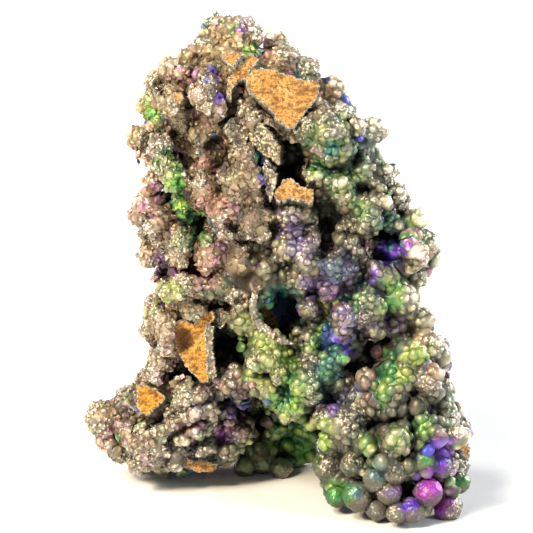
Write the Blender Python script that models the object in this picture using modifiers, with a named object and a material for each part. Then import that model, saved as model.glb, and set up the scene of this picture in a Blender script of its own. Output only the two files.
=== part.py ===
"""A rainbow goethite specimen: one grown mass of botryoidal iron oxide on its broken feet.

Metres, +Z up, origin at the bottom centre of the box. X runs to the right of the side that
shows best, and Y runs away from it. The tables below are in millimetres. What lies on the
showing side is placed as seen from EYE: across and up from the origin, square to that view.
"""

import math
import random

import bmesh
import bpy
from mathutils import Matrix, Vector
from mathutils.bvhtree import BVHTree

MM = 0.001
SEED = 78
EYE_RISE = math.radians(16)  # the showing side is drawn from this far above level
EYE_DISTANCE = 800
EYE_AIM = (-3.2, 57.5)  # the point that it looks at, across and up
CENTRE_SHIFT = (0.2, -0.8)  # brings the middle of the finished mass over the origin
MOST_TRIANGLES = 9700
CARVING_TRIANGLES = 36000  # while the broken faces are cut
COARSE_VOXEL = 1.4  # the bare mass
FINE_VOXEL = 0.9  # the mass with its knobs
OPEN_RADIUS = 2.6  # hollows wider than this are cleared again of what grew into them

# Swellings of the bare mass: centre x, y, z, then radius along x, y, z
SWELLINGS = {
    "summit": (-12.8, 8, 109.5, 7.5, 9, 10.5),
    "left_shoulder": (-20.5, 5, 101, 11, 11, 10),
    "right_crown": (-2.5, 6, 102.5, 12, 12, 11),
    "right_shoulder": (9, 5, 91, 12, 13, 12),
    "left_cheek": (-26.5, 4, 87.5, 9, 10, 8),
    "upper_chest": (-5, 5, 80, 23, 15, 18),
    "right_flank": (17.5, 4, 76, 13.5, 14, 14),
    "left_brow": (-28, 3, 69.5, 7.8, 10, 7.5),
    "right_elbow": (29.5, 2, 63.5, 8.5, 10, 7),
    "middle": (0, 5, 57, 25, 17, 19),
    "left_waist": (-20, 3, 54, 9, 12, 12),
    "right_waist": (20, 1, 48, 13, 16, 13),
    "left_hip": (-26.5, 3, 42, 7.5, 11, 8),
    "lower_chest": (3, 4, 39, 23, 18, 17),
    "right_hip": (29.5, -3, 33, 12, 17, 14),
    "left_knee": (-23, 4, 29, 10.5, 12, 10),
    "left_foot": (-26, 9, 16, 17, 13, 13),
    "left_heel": (-26, 16, 7, 15, 9, 9),
    "left_toe": (-41.5, 5, 16, 6, 7, 6.5),
    "right_foot": (29, -7, 17, 16.5, 18, 18),
    "right_toe": (31.5, -16, 7.5, 11.5, 9, 9),
    "inner_toe": (22, -11, 8.5, 9, 9, 9),
    "back_root": (-4, 22, 10, 10, 8, 13),
    "right_heel": (28, 16, 13, 12, 12, 16),
    "back": (0, 17, 58, 18, 10, 38),
    "lower_back": (4, 18, 32, 24, 10, 18),
}

# Heads on the showing side: across, up, radius
HEADS = [
    (11.5, 91, 7), (19, 90, 4.6), (23.5, 84.5, 4.2), (14, 77.5, 4.6), (18, 63.2, 5.8),
    (23.2, 73.2, 4), (6.4, 68, 5.6), (2.8, 63, 5), (7.9, 57.5, 6), (13.5, 52, 5.4),
    (-19.6, 56, 6), (-25, 52.8, 4.5), (-12, 70.6, 5), (-16.3, 64.5, 5), (-7.4, 77, 4.8),
    (-9.9, 84.6, 4.8), (-14, 79.5, 4.6), (-18.8, 78.2, 4), (-5.6, 94.5, 3.4), (-4.6, 88, 3.6),
    (-13.7, 104, 4.6), (-19, 100, 4.6), (-16.3, 93.5, 5), (-25.5, 106, 4), (24.4, 53, 5),
    (30.5, 51.5, 4.2), (19.3, 44.5, 5.6), (32, 45.5, 4), (-4.3, 36.3, 4.4), (1.5, 33, 4.6),
    (6.4, 29, 5.4), (11.7, 37.5, 3.8), (18, 18.5, 6), (29.3, 26, 4), (34, 35, 4.2),
    (37.5, 28.4, 3.8), (23.7, 27.4, 3.6), (17.5, 28.6, 4), (29.5, 14.1, 4.4), (23.2, 12.1, 3.4),
    (37.4, 15.4, 4.2), (43, 13.4, 3.4), (-34, 12, 5.6), (-22, 17, 6), (-14.2, 16.7, 4.2),
    (-29, 17.2, 4.4), (-31, 30.9, 4.4), (-21.4, 23.5, 4.2), (-12.5, 51.5, 4.4), (-9.5, 43.5, 3.6),
    (-1, 20.5, 4), (5.3, 16.5, 4.2), (2.8, 24.8, 3.8), (9.5, 23, 4), (-24, 92, 3.6),
    (-29, 84, 4), (-30, 69, 3.8), (-27, 61, 3.4), (-28, 43, 3.6), (30, 68, 4), (33, 59, 3.4),
]

# Single balls that stand clear of the rest, on the right foot and beside it
CLEAR_BALLS = [
    (20.1, -0.9, 3.7), (14.5, -1.1, 2.6), (28, -0.1, 3), (37.9, 0.1, 3.4), (33.6, -4.5, 3.1),
    (43, -3.9, 3.4), (30, -5.2, 2.6), (13, 6.7, 4.2), (18.8, 7.3, 3), (29.8, 5.5, 3.2),
    (41, 6.5, 2.8), (36.4, 8.2, 2.8), (24.5, 3.5, 3), (46, 2.5, 2.6), (25, -4.5, 2.6),
    (-8.7, 6.5, 2.8), (-4, 8, 3.2), (0.5, 6, 2.8),
]

# Hollows in the showing side: the path as seen, the radius and how deep it goes
HOLLOWS = {
    "crevice_top": ([(-10.3, 102.5), (-6.8, 98), (-3.2, 94)], 2.4, 8),
    "crevice": ([(0.6, 88.8), (3, 84.6), (3.3, 80.5)], 3.8, 10),
    "window": ([(0.5, 44.6)], 6.2, 14),
    "left_window": ([(-15, 40), (-12.6, 34.5)], 4.6, 13),
    "left_slot": ([(-21.8, 73), (-21.2, 69.5)], 2.4, 6),
    "left_groove": ([(-22.5, 97), (-23, 87)], 2.2, 5),
    "shoulder_pit": ([(-24.4, 103.8)], 1.9, 4),
    "under_brow": ([(-24.5, 57.5), (-19, 56)], 2.3, 6),
    "knee_pit": ([(-27.5, 31.5), (-21.5, 28.5)], 2.3, 7),
    "right_eye": ([(13, 84.6), (16, 83)], 2.0, 5),
    "right_armpit": ([(22, 66.6), (26, 66)], 1.9, 6),
    "under_elbow": ([(25, 59.5), (31, 57.5)], 2.0, 6),
    "centre_groove": ([(11.5, 74), (13, 64.5)], 2.3, 6),
    "hip_slot": ([(25, 39), (25.5, 33)], 2.4, 7),
    "hip_groove": ([(21.5, 33.5), (19.5, 31)], 2.2, 6),
    "foot_groove": ([(30, 21.5), (40, 12.5)], 1.5, 4),
    "arch_roof": ([(-7, 23.5), (-6, 17)], 3.8, 12),
}

# The ways under the mass, between its feet: start, end and radius
ARCHES = {
    "arch": ((-3, -34, 4), (-3, 4, 5), 8.6),
    "left_gap": ((-11, -5, 1.5), (-14, 34, 0.5), 2.8),
    "right_gap": ((5, -5, 1.5), (8, 34, 0), 2.6),
}

# Broken faces on the showing side: the middle as seen, how far it stands proud, its tilt back
# and turn in degrees, and its outline about the middle
FRACTURES = {
    "main": ((1.5, 100.5), 2.2, 32, 6, [
        (-10, 4.4), (-7.8, 7.2), (-2, 6.8), (4, 5.4), (8, 4.4), (8.6, 0.4),
        (5.6, -3.4), (3, -7.2), (1, -8.2), (-1.6, -6), (-3.6, -3), (-5.8, -0.4), (-8.8, 2),
    ]),
    "upper_left": ((-12.3, 110), 1.2, 42, -12, [(-2.4, 0.2), (0, 1.8), (2.6, 1.4), (0.6, -2), (-1, -1.6)]),
    "upper_right": ((-8.6, 107), 1.4, 38, 0, [
        (-1.6, 1.6), (1.6, 4), (3.4, 2.6), (2, 0.4), (0.4, -2.6), (-2, -3.8), (-3.6, -6), (-3, -2),
    ]),
    "ledge": ((4.5, 76.6), 2.2, 34, 0, [
        (-5.8, -0.6), (-3.2, 3.4), (0, 2.6), (1.7, 1), (4.2, 0.6), (3.8, -2.8), (0.4, -2), (-5, -2.6),
    ]),
    "cheek": ((-26, 101), 0.8, 30, -15, [(-2, -1), (1.4, 0.9), (1.8, -1.4), (-1.6, -2.4)]),
    "panel_pit": ((-23, 39.5), 0.2, 2, -14, [
        (-3.6, 2.4), (0, 4), (2.6, 2), (2.6, -2.6), (0, -4), (-2.4, -2),
    ]),
    "panel_arm": ((-17.6, 44.4), 1.4, 12, 0, [(-3, 1.4), (-1, 2), (1.4, 1.6), (0, -1), (-2, -6), (-3, -5)]),
    "panel_foot": ((-22, 33.2), 1.4, 8, -8, [(-3, 1.4), (2.4, 1.8), (3, -1.6), (1.6, -4.6), (0, -1.8), (-2.8, -1.4)]),
    "foot": ((-32.5, 23.8), 1.8, 22, -10, [
        (-3.7, 3.6), (0.6, 2.8), (3.6, 0.6), (2.6, -1), (-0.8, -4.2), (-2.7, -3.7), (-3.7, -1),
    ]),
    "sole": ((-23.5, 8.6), 0.8, -5, 0, [(-4, 0.6), (-2, 1.6), (2, 1), (6.6, -0.6), (7, -2), (2, -1.4), (-3.6, -1.4)]),
    "right_edge": ((47, 11.6), 0.6, 0, 35, [(-1.2, 3.2), (1.2, 2.6), (1, -2.4), (-0.2, -3.2), (-0.6, 0)]),
}


def clear_scene():
    for obj in list(bpy.data.objects):
        bpy.data.objects.remove(obj)


def object_from(name, bm):
    """A mesh object that takes over a bmesh, in the scene's first collection."""
    mesh = bpy.data.meshes.new(name)
    bm.to_mesh(mesh)
    bm.free()
    obj = bpy.data.objects.new(name, mesh)
    bpy.context.scene.collection.objects.link(obj)
    return obj


def bake_modifiers(obj):
    """Puts the evaluated mesh in place of the object's own and drops its modifiers."""
    bpy.context.view_layer.update()
    graph = bpy.context.evaluated_depsgraph_get()
    old = obj.data
    obj.data = bpy.data.meshes.new_from_object(obj.evaluated_get(graph))
    obj.modifiers.clear()
    bpy.data.meshes.remove(old)


def fuse(obj, voxel):
    """Makes overlapping closed shapes one skin."""
    remesh = obj.modifiers.new("fuse", "REMESH")
    remesh.mode = "VOXEL"
    remesh.voxel_size = voxel * MM
    bake_modifiers(obj)


def cut(obj, cutter):
    """Takes the cutter's shape away from the object, and then the cutter."""
    boolean = obj.modifiers.new("cut", "BOOLEAN")
    boolean.operation = "DIFFERENCE"
    boolean.solver = "MANIFOLD"  # EXACT loses the mass where so many faces meet
    boolean.object = cutter
    bake_modifiers(obj)
    bpy.data.objects.remove(cutter)


def thin_out(obj, triangles):
    """Brings the skin down to a number of triangles."""
    obj.data.calc_loop_triangles()
    decimate = obj.modifiers.new("thin_out", "DECIMATE")
    decimate.ratio = min(1, triangles / len(obj.data.loop_triangles))
    decimate.use_collapse_triangulate = True
    bake_modifiers(obj)


def unit_ball(subdivisions):
    """A shared icosphere mesh of radius 1, made the first time that it is asked for."""
    name = f"unit_ball_{subdivisions}"
    if name not in bpy.data.meshes:
        bm = bmesh.new()
        bmesh.ops.create_icosphere(bm, subdivisions=subdivisions, radius=1)
        bm.to_mesh(bpy.data.meshes.new(name))
        bm.free()
    return bpy.data.meshes[name]


def add_ball(bm, centre, radii, subdivisions=3):
    """An icosphere, stretched to its three radii, in millimetres."""
    ball = unit_ball(subdivisions).copy()
    place = Matrix.Translation(Vector(centre) * MM)
    ball.transform(place @ Matrix.Diagonal((*(Vector(radii) * MM), 1)))
    bm.from_mesh(ball)
    bpy.data.meshes.remove(ball)


def add_capsule(bm, start, end, radius):
    """A row of balls close enough to read as one rounded bar."""
    start, end = Vector(start), Vector(end)
    steps = max(1, math.ceil((end - start).length / (radius * 0.6)))
    for i in range(steps + 1):
        add_ball(bm, start.lerp(end, i / steps), (radius,) * 3, subdivisions=2)


class Showing:
    """The showing side of a mass: finds where what is seen at a point lies on its skin."""

    def __init__(self, obj):
        bm = bmesh.new()
        bm.from_mesh(obj.data)
        self.tree = BVHTree.FromBMesh(bm)
        bm.free()
        self.up = Vector((0, math.sin(EYE_RISE), math.cos(EYE_RISE)))
        away = Vector((0, math.cos(EYE_RISE), -math.sin(EYE_RISE)))
        self.eye = Vector((EYE_AIM[0], 0, 0)) + self.up * EYE_AIM[1] - away * EYE_DISTANCE

    def line(self, across, up):
        """The direction from the eye to a point across and up."""
        return (Vector((across, 0, 0)) + self.up * up - self.eye).normalized()

    def find(self, across, up):
        """The point on the skin and the skin's direction there, or None off the mass."""
        hit, normal, _, _ = self.tree.ray_cast(self.eye * MM, self.line(across, up))
        return None if hit is None else (hit / MM, normal)


def bare_mass():
    """The swellings and the heads on them, fused."""
    bm = bmesh.new()
    for x, y, z, rx, ry, rz in SWELLINGS.values():
        add_ball(bm, (x, y, z), (rx, ry, rz))
    mass = object_from("goethite", bm)
    fuse(mass, COARSE_VOXEL)
    showing = Showing(mass)
    bm = bmesh.new()
    bm.from_mesh(mass.data)
    for across, up, radius in HEADS:
        found = showing.find(across, up)
        if found:
            point, normal = found
            add_ball(bm, point - normal * radius * 0.1, (radius,) * 3)
    bm.to_mesh(mass.data)
    bm.free()
    fuse(mass, COARSE_VOXEL)
    return mass


def hollow_bars(mass):
    """The bars that the hollows take away: start, end and radius of each."""
    showing = Showing(mass)
    bars = list(ARCHES.values())
    for path, radius, depth in HOLLOWS.values():
        tops, floors = [], []
        for across, up in path:
            found = showing.find(across, up)
            if found:
                along = showing.line(across, up)
                tops.append(found[0] - along * radius * 2)
                floors.append(found[0] + along * (depth - radius))
        bars += [(top, floor, radius) for top, floor in zip(tops, floors)]
        bars += [(a, b, radius) for a, b in zip(floors, floors[1:])]
        bars += [(a, b, radius) for a, b in zip(tops, tops[1:])]
        bars += [((a + c) / 2, (b + d) / 2, radius) for a, b, c, d in zip(tops, floors, tops[1:], floors[1:])]
    return bars


def clearance(point, bars):
    """How far a point lies outside the nearest hollow."""
    nearest = 100.0
    for start, end, radius in bars:
        start, run = Vector(start), Vector(end) - Vector(start)
        t = min(1, max(0, (point - start).dot(run) / max(run.length_squared, 1e-6)))
        nearest = min(nearest, (point - start - run * t).length - radius)
    return nearest


def hollow_out(mass, bars):
    bm = bmesh.new()
    for start, end, radius in bars:
        add_capsule(bm, start, end, radius)
    hollows = object_from("hollows", bm)
    fuse(hollows, COARSE_VOXEL)
    cut(mass, hollows)


def coarseness(point):
    """How large the knobs grow at a point: 0 at the fine upper left, 1 at the lower right."""
    x, _, z = point
    return min(1.0, max(0.0, 0.45 + x / 90 - (z - 55) / 190))


def knob_places(mass, rng):
    """Points spread over the mass about a knob apart, with the skin's direction at each."""
    mesh = mass.data
    mesh.calc_loop_triangles()
    triangles = [[mesh.vertices[i].co / MM for i in t.vertices] for t in mesh.loop_triangles]
    areas = [t.area for t in mesh.loop_triangles]
    kept, cells = [], {}
    cell = 8.0
    for triangle in rng.choices(triangles, areas, k=14000):
        a, b = sorted((rng.random(), rng.random()))
        point = triangle[0] * a + triangle[1] * (b - a) + triangle[2] * (1 - b)
        spacing = 5.0 + 1.6 * coarseness(point) + rng.uniform(-0.8, 0.8)
        i, j, k = (math.floor(c / cell) for c in point)
        near = (
            q
            for di in (-1, 0, 1)
            for dj in (-1, 0, 1)
            for dk in (-1, 0, 1)
            for q in cells.get((i + di, j + dj, k + dk), ())
        )
        if all((point - q).length > spacing for q in near):
            cells.setdefault((i, j, k), []).append(point)
            normal = (triangle[1] - triangle[0]).cross(triangle[2] - triangle[0]).normalized()
            kept.append((point, normal))
    return kept


def knobbly_mass():
    """The mass with a knob grown at each place, like a head of cauliflower."""
    rng = random.Random(SEED)
    mass = bare_mass()
    bars = hollow_bars(mass)
    hollow_out(mass, bars)
    showing = Showing(mass)
    bm = bmesh.new()
    bm.from_mesh(mass.data)
    for point, normal in knob_places(mass, rng):
        radius = (2.7 + 1.0 * coarseness(point)) * rng.uniform(0.8, 1.2)
        centre = point + normal * radius * rng.uniform(-0.2, 0.25)
        stretch = [radius * rng.uniform(0.88, 1.14) for _ in range(3)]
        if clearance(point, bars) > 0.6 or rng.random() < 0.25:
            add_ball(bm, centre, stretch, subdivisions=2)
    for across, up, radius in CLEAR_BALLS:
        found = showing.find(across, up)
        if found:
            add_ball(bm, found[0] - showing.line(across, up) * radius * 0.3, (radius,) * 3)
    bm.to_mesh(mass.data)
    bm.free()
    fuse(mass, FINE_VOXEL)
    return mass, bars


def chip_frame(place, tilt, turn):
    """The matrix of a broken face: its local X and Y lie in the face and Z points out of it."""
    turned = Matrix.Rotation(math.radians(turn), 4, "Z") @ Matrix.Rotation(math.radians(90 - tilt), 4, "X")
    return Matrix.Translation(Vector(place) * MM) @ turned


def add_prism(bm, frame, low_outline, high_outline, low, high):
    """A prism between two outlines of one shape, from low to high along the frame's Z."""
    sides = len(low_outline)
    made = bmesh.ops.create_cone(
        bm, cap_ends=True, cap_tris=False, segments=sides, radius1=1, radius2=1, depth=2
    )
    rings = sorted(made["verts"], key=lambda v: v.co.z)
    for ring, outline, height in ((rings[:sides], low_outline, low), (rings[sides:], high_outline, high)):
        ring.sort(key=lambda v: -math.atan2(v.co.y, v.co.x) % math.tau)
        for vert, (x, y) in zip(ring, outline):
            vert.co = frame @ (Vector((x, y, height)) * MM)


def widened(outline, by):
    """The outline grown outwards from its own middle, by a distance in millimetres."""
    middle = sum((Vector(p) for p in outline), Vector((0, 0))) / len(outline)
    return [Vector(p) + (Vector(p) - middle).normalized() * by for p in outline]


def broken_faces(mass, bars):
    """Builds up a stub under each broken face and clears what would stand over it."""
    showing = Showing(mass)
    frames = {}
    for name, (middle, proud, tilt, turn, _) in FRACTURES.items():
        found = showing.find(*middle)
        if found:
            frames[name] = chip_frame(found[0] - showing.line(*middle) * proud, tilt, turn)
    bm = bmesh.new()
    bm.from_mesh(mass.data)
    for name, frame in frames.items():
        outline = FRACTURES[name][4]
        add_prism(bm, frame, widened(outline, 2.5), outline, -7, 0)
    bmesh.ops.recalc_face_normals(bm, faces=bm.faces)
    bm.to_mesh(mass.data)
    bm.free()
    fuse(mass, FINE_VOXEL)
    thin_out(mass, CARVING_TRIANGLES)
    bm = bmesh.new()
    for name, frame in frames.items():
        outline = FRACTURES[name][4]
        add_prism(bm, frame, widened(outline, 0.4), widened(outline, 2.5), 0, 8)
    bmesh.ops.recalc_face_normals(bm, faces=bm.faces)
    for start, end, radius in bars:
        if radius > OPEN_RADIUS:
            add_capsule(bm, start, end, radius - 0.5)
    above = object_from("clearance", bm)
    fuse(above, FINE_VOXEL)
    cut(mass, above)


def cut_feet_flat(mass):
    """The mass was broken from its wall below its feet, so they end in one plane."""
    bm = bmesh.new()
    below = Matrix.Translation((0, 0, -20 * MM)) @ Matrix.Diagonal((0.2, 0.2, 40 * MM, 1))
    bmesh.ops.create_cube(bm, size=1, matrix=below)
    cut(mass, object_from("below_the_feet", bm))


def keep_largest(mass):
    """Drops any crumb that a cut left loose."""
    bm = bmesh.new()
    bm.from_mesh(mass.data)
    left = set(bm.verts)
    bodies = []
    while left:
        body, open_ends = set(), [left.pop()]
        while open_ends:
            vert = open_ends.pop()
            body.add(vert)
            fresh = [e.other_vert(vert) for e in vert.link_edges if e.other_vert(vert) in left]
            left.difference_update(fresh)
            open_ends += fresh
        bodies.append(body)
    bodies.sort(key=len)
    for body in bodies[:-1]:
        bmesh.ops.delete(bm, geom=list(body), context="VERTS")
    bm.to_mesh(mass.data)
    bm.free()


def goethite_material():
    material = bpy.data.materials.new("iridescent_goethite")
    material.use_nodes = True
    shader = material.node_tree.nodes["Principled BSDF"]
    shader.inputs["Base Color"].default_value = (0.19, 0.165, 0.125, 1)
    shader.inputs["Metallic"].default_value = 0.55
    shader.inputs["Roughness"].default_value = 0.38
    return material


def main():
    clear_scene()
    mass, bars = knobbly_mass()
    broken_faces(mass, bars)
    keep_largest(mass)
    thin_out(mass, MOST_TRIANGLES)
    cut_feet_flat(mass)
    keep_largest(mass)
    mass.data.transform(Matrix.Translation((*(Vector(CENTRE_SHIFT) * MM), 0)))
    mass.data.materials.clear()
    mass.data.materials.append(goethite_material())
    mass.data.shade_smooth()
    mass.data.set_sharp_from_angle(angle=math.radians(50))
    collection = bpy.data.collections.new("goethite_specimen")
    bpy.context.scene.collection.children.link(collection)
    collection.objects.link(mass)
    bpy.context.scene.collection.objects.unlink(mass)


main()
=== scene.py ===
"""The looks of the goethite specimen: rough mass, balls, broken faces and the rainbow tarnish."""

import math

import bmesh
import bpy
import numpy as np
from mathutils import Matrix, Vector, noise
from mathutils.bvhtree import BVHTree
from mathutils.geometry import intersect_line_plane


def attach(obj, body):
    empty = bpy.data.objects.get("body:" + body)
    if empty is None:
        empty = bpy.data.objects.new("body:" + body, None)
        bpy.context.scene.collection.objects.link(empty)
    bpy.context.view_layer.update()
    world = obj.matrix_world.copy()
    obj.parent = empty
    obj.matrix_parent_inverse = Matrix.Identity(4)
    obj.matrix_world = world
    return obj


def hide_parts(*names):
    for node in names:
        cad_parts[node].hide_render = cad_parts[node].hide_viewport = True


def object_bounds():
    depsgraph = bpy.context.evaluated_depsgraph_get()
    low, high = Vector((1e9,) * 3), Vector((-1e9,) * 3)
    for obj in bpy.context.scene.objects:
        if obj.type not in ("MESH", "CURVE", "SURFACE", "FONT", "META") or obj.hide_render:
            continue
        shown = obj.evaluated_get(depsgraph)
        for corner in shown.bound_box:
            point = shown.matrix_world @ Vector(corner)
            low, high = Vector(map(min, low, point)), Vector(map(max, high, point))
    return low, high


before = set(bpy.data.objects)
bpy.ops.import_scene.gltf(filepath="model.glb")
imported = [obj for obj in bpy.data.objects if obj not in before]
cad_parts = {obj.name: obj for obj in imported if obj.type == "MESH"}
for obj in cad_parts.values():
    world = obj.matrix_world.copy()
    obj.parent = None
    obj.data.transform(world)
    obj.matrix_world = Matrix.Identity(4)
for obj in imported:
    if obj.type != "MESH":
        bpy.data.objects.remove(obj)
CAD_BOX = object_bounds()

bl_info = {
    "name": "Rainbow goethite specimen",
    "version": (1, 0, 0),
    "blender": (4, 5, 0),
    "location": "View3D > Sidebar > Goethite",
    "description": "Dresses the goethite mass with balls, broken faces and tarnish",
    "category": "Object",
}

MM = 0.001
NODE = "goethite"

# The showing side is read from one eye: places on it are across and up from ORIGIN, in
# millimetres, square to the line of sight
ORIGIN = Vector((0.2, -0.8, 0)) * MM
EYE_RISE = math.radians(16)
EYE_DISTANCE = 0.8
EYE_AIM = (-3.2, 57.5)
PIXELS_PER_MM = 3.93  # at the origin, in the 533-pixel frame
FRAME_PIXELS = 533
SENSOR_WIDTH = 36  # of the camera, in millimetres

# How far back from the origin the features of the showing side reach
MARKS_REACH = 8 * MM
HEADS_REACH = 12 * MM
CLEAR_BALLS_REACH = 16 * MM

# Bands over which one kind of growth gives way to the next: the top, the upper half and the back
TOP_BAND = (98 * MM, 112 * MM)
UPPER_BAND = (71 * MM, 73 * MM)
BACK_BAND = (4 * MM, 6 * MM)

# The grain of the mass's first skin, before its heads grow
FIRST_VOXEL = 1.0 * MM

# The part of the film's scale, from 0 to 1, that runs from teal through green to lime
GREEN_FROM = 0.62
GREEN_TO = 0.93

# How far the looks may stand out of the CAD box, as a share of its size
PROUD_SHARE = 0.02

# What the lights look at
MIDDLE = Vector((0, 0, 0.06))

# Thickness of the tarnish film, in the order that its colours come
FILM = {
    "gold": 0.12, "copper": 0.23, "pink": 0.3, "magenta": 0.4, "violet": 0.49, "blue": 0.6,
    "teal": 0.7, "green": 0.8, "lime": 0.9,
}
FILM_COLOURS = [
    (0.0, (0.42, 0.40, 0.36)), (0.12, (0.62, 0.46, 0.22)), (0.23, (0.60, 0.33, 0.20)),
    (0.31, (0.58, 0.24, 0.27)), (0.40, (0.42, 0.04, 0.46)), (0.49, (0.16, 0.05, 0.62)),
    (0.60, (0.04, 0.10, 0.46)), (0.70, (0.03, 0.26, 0.28)), (0.80, (0.07, 0.36, 0.08)),
    (0.90, (0.25, 0.39, 0.065)), (1.0, (0.43, 0.41, 0.14)),
]

# Hues that the bare goethite drifts through
TINTS = [
    (0.34, (0.76, 0.95, 0.78)), (0.42, (0.88, 0.96, 0.86)), (0.48, (1.15, 0.98, 0.74)),
    (0.53, (0.93, 0.95, 0.9)), (0.58, (1.08, 0.86, 0.85)), (0.66, (0.84, 0.86, 0.92)),
]

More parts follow.
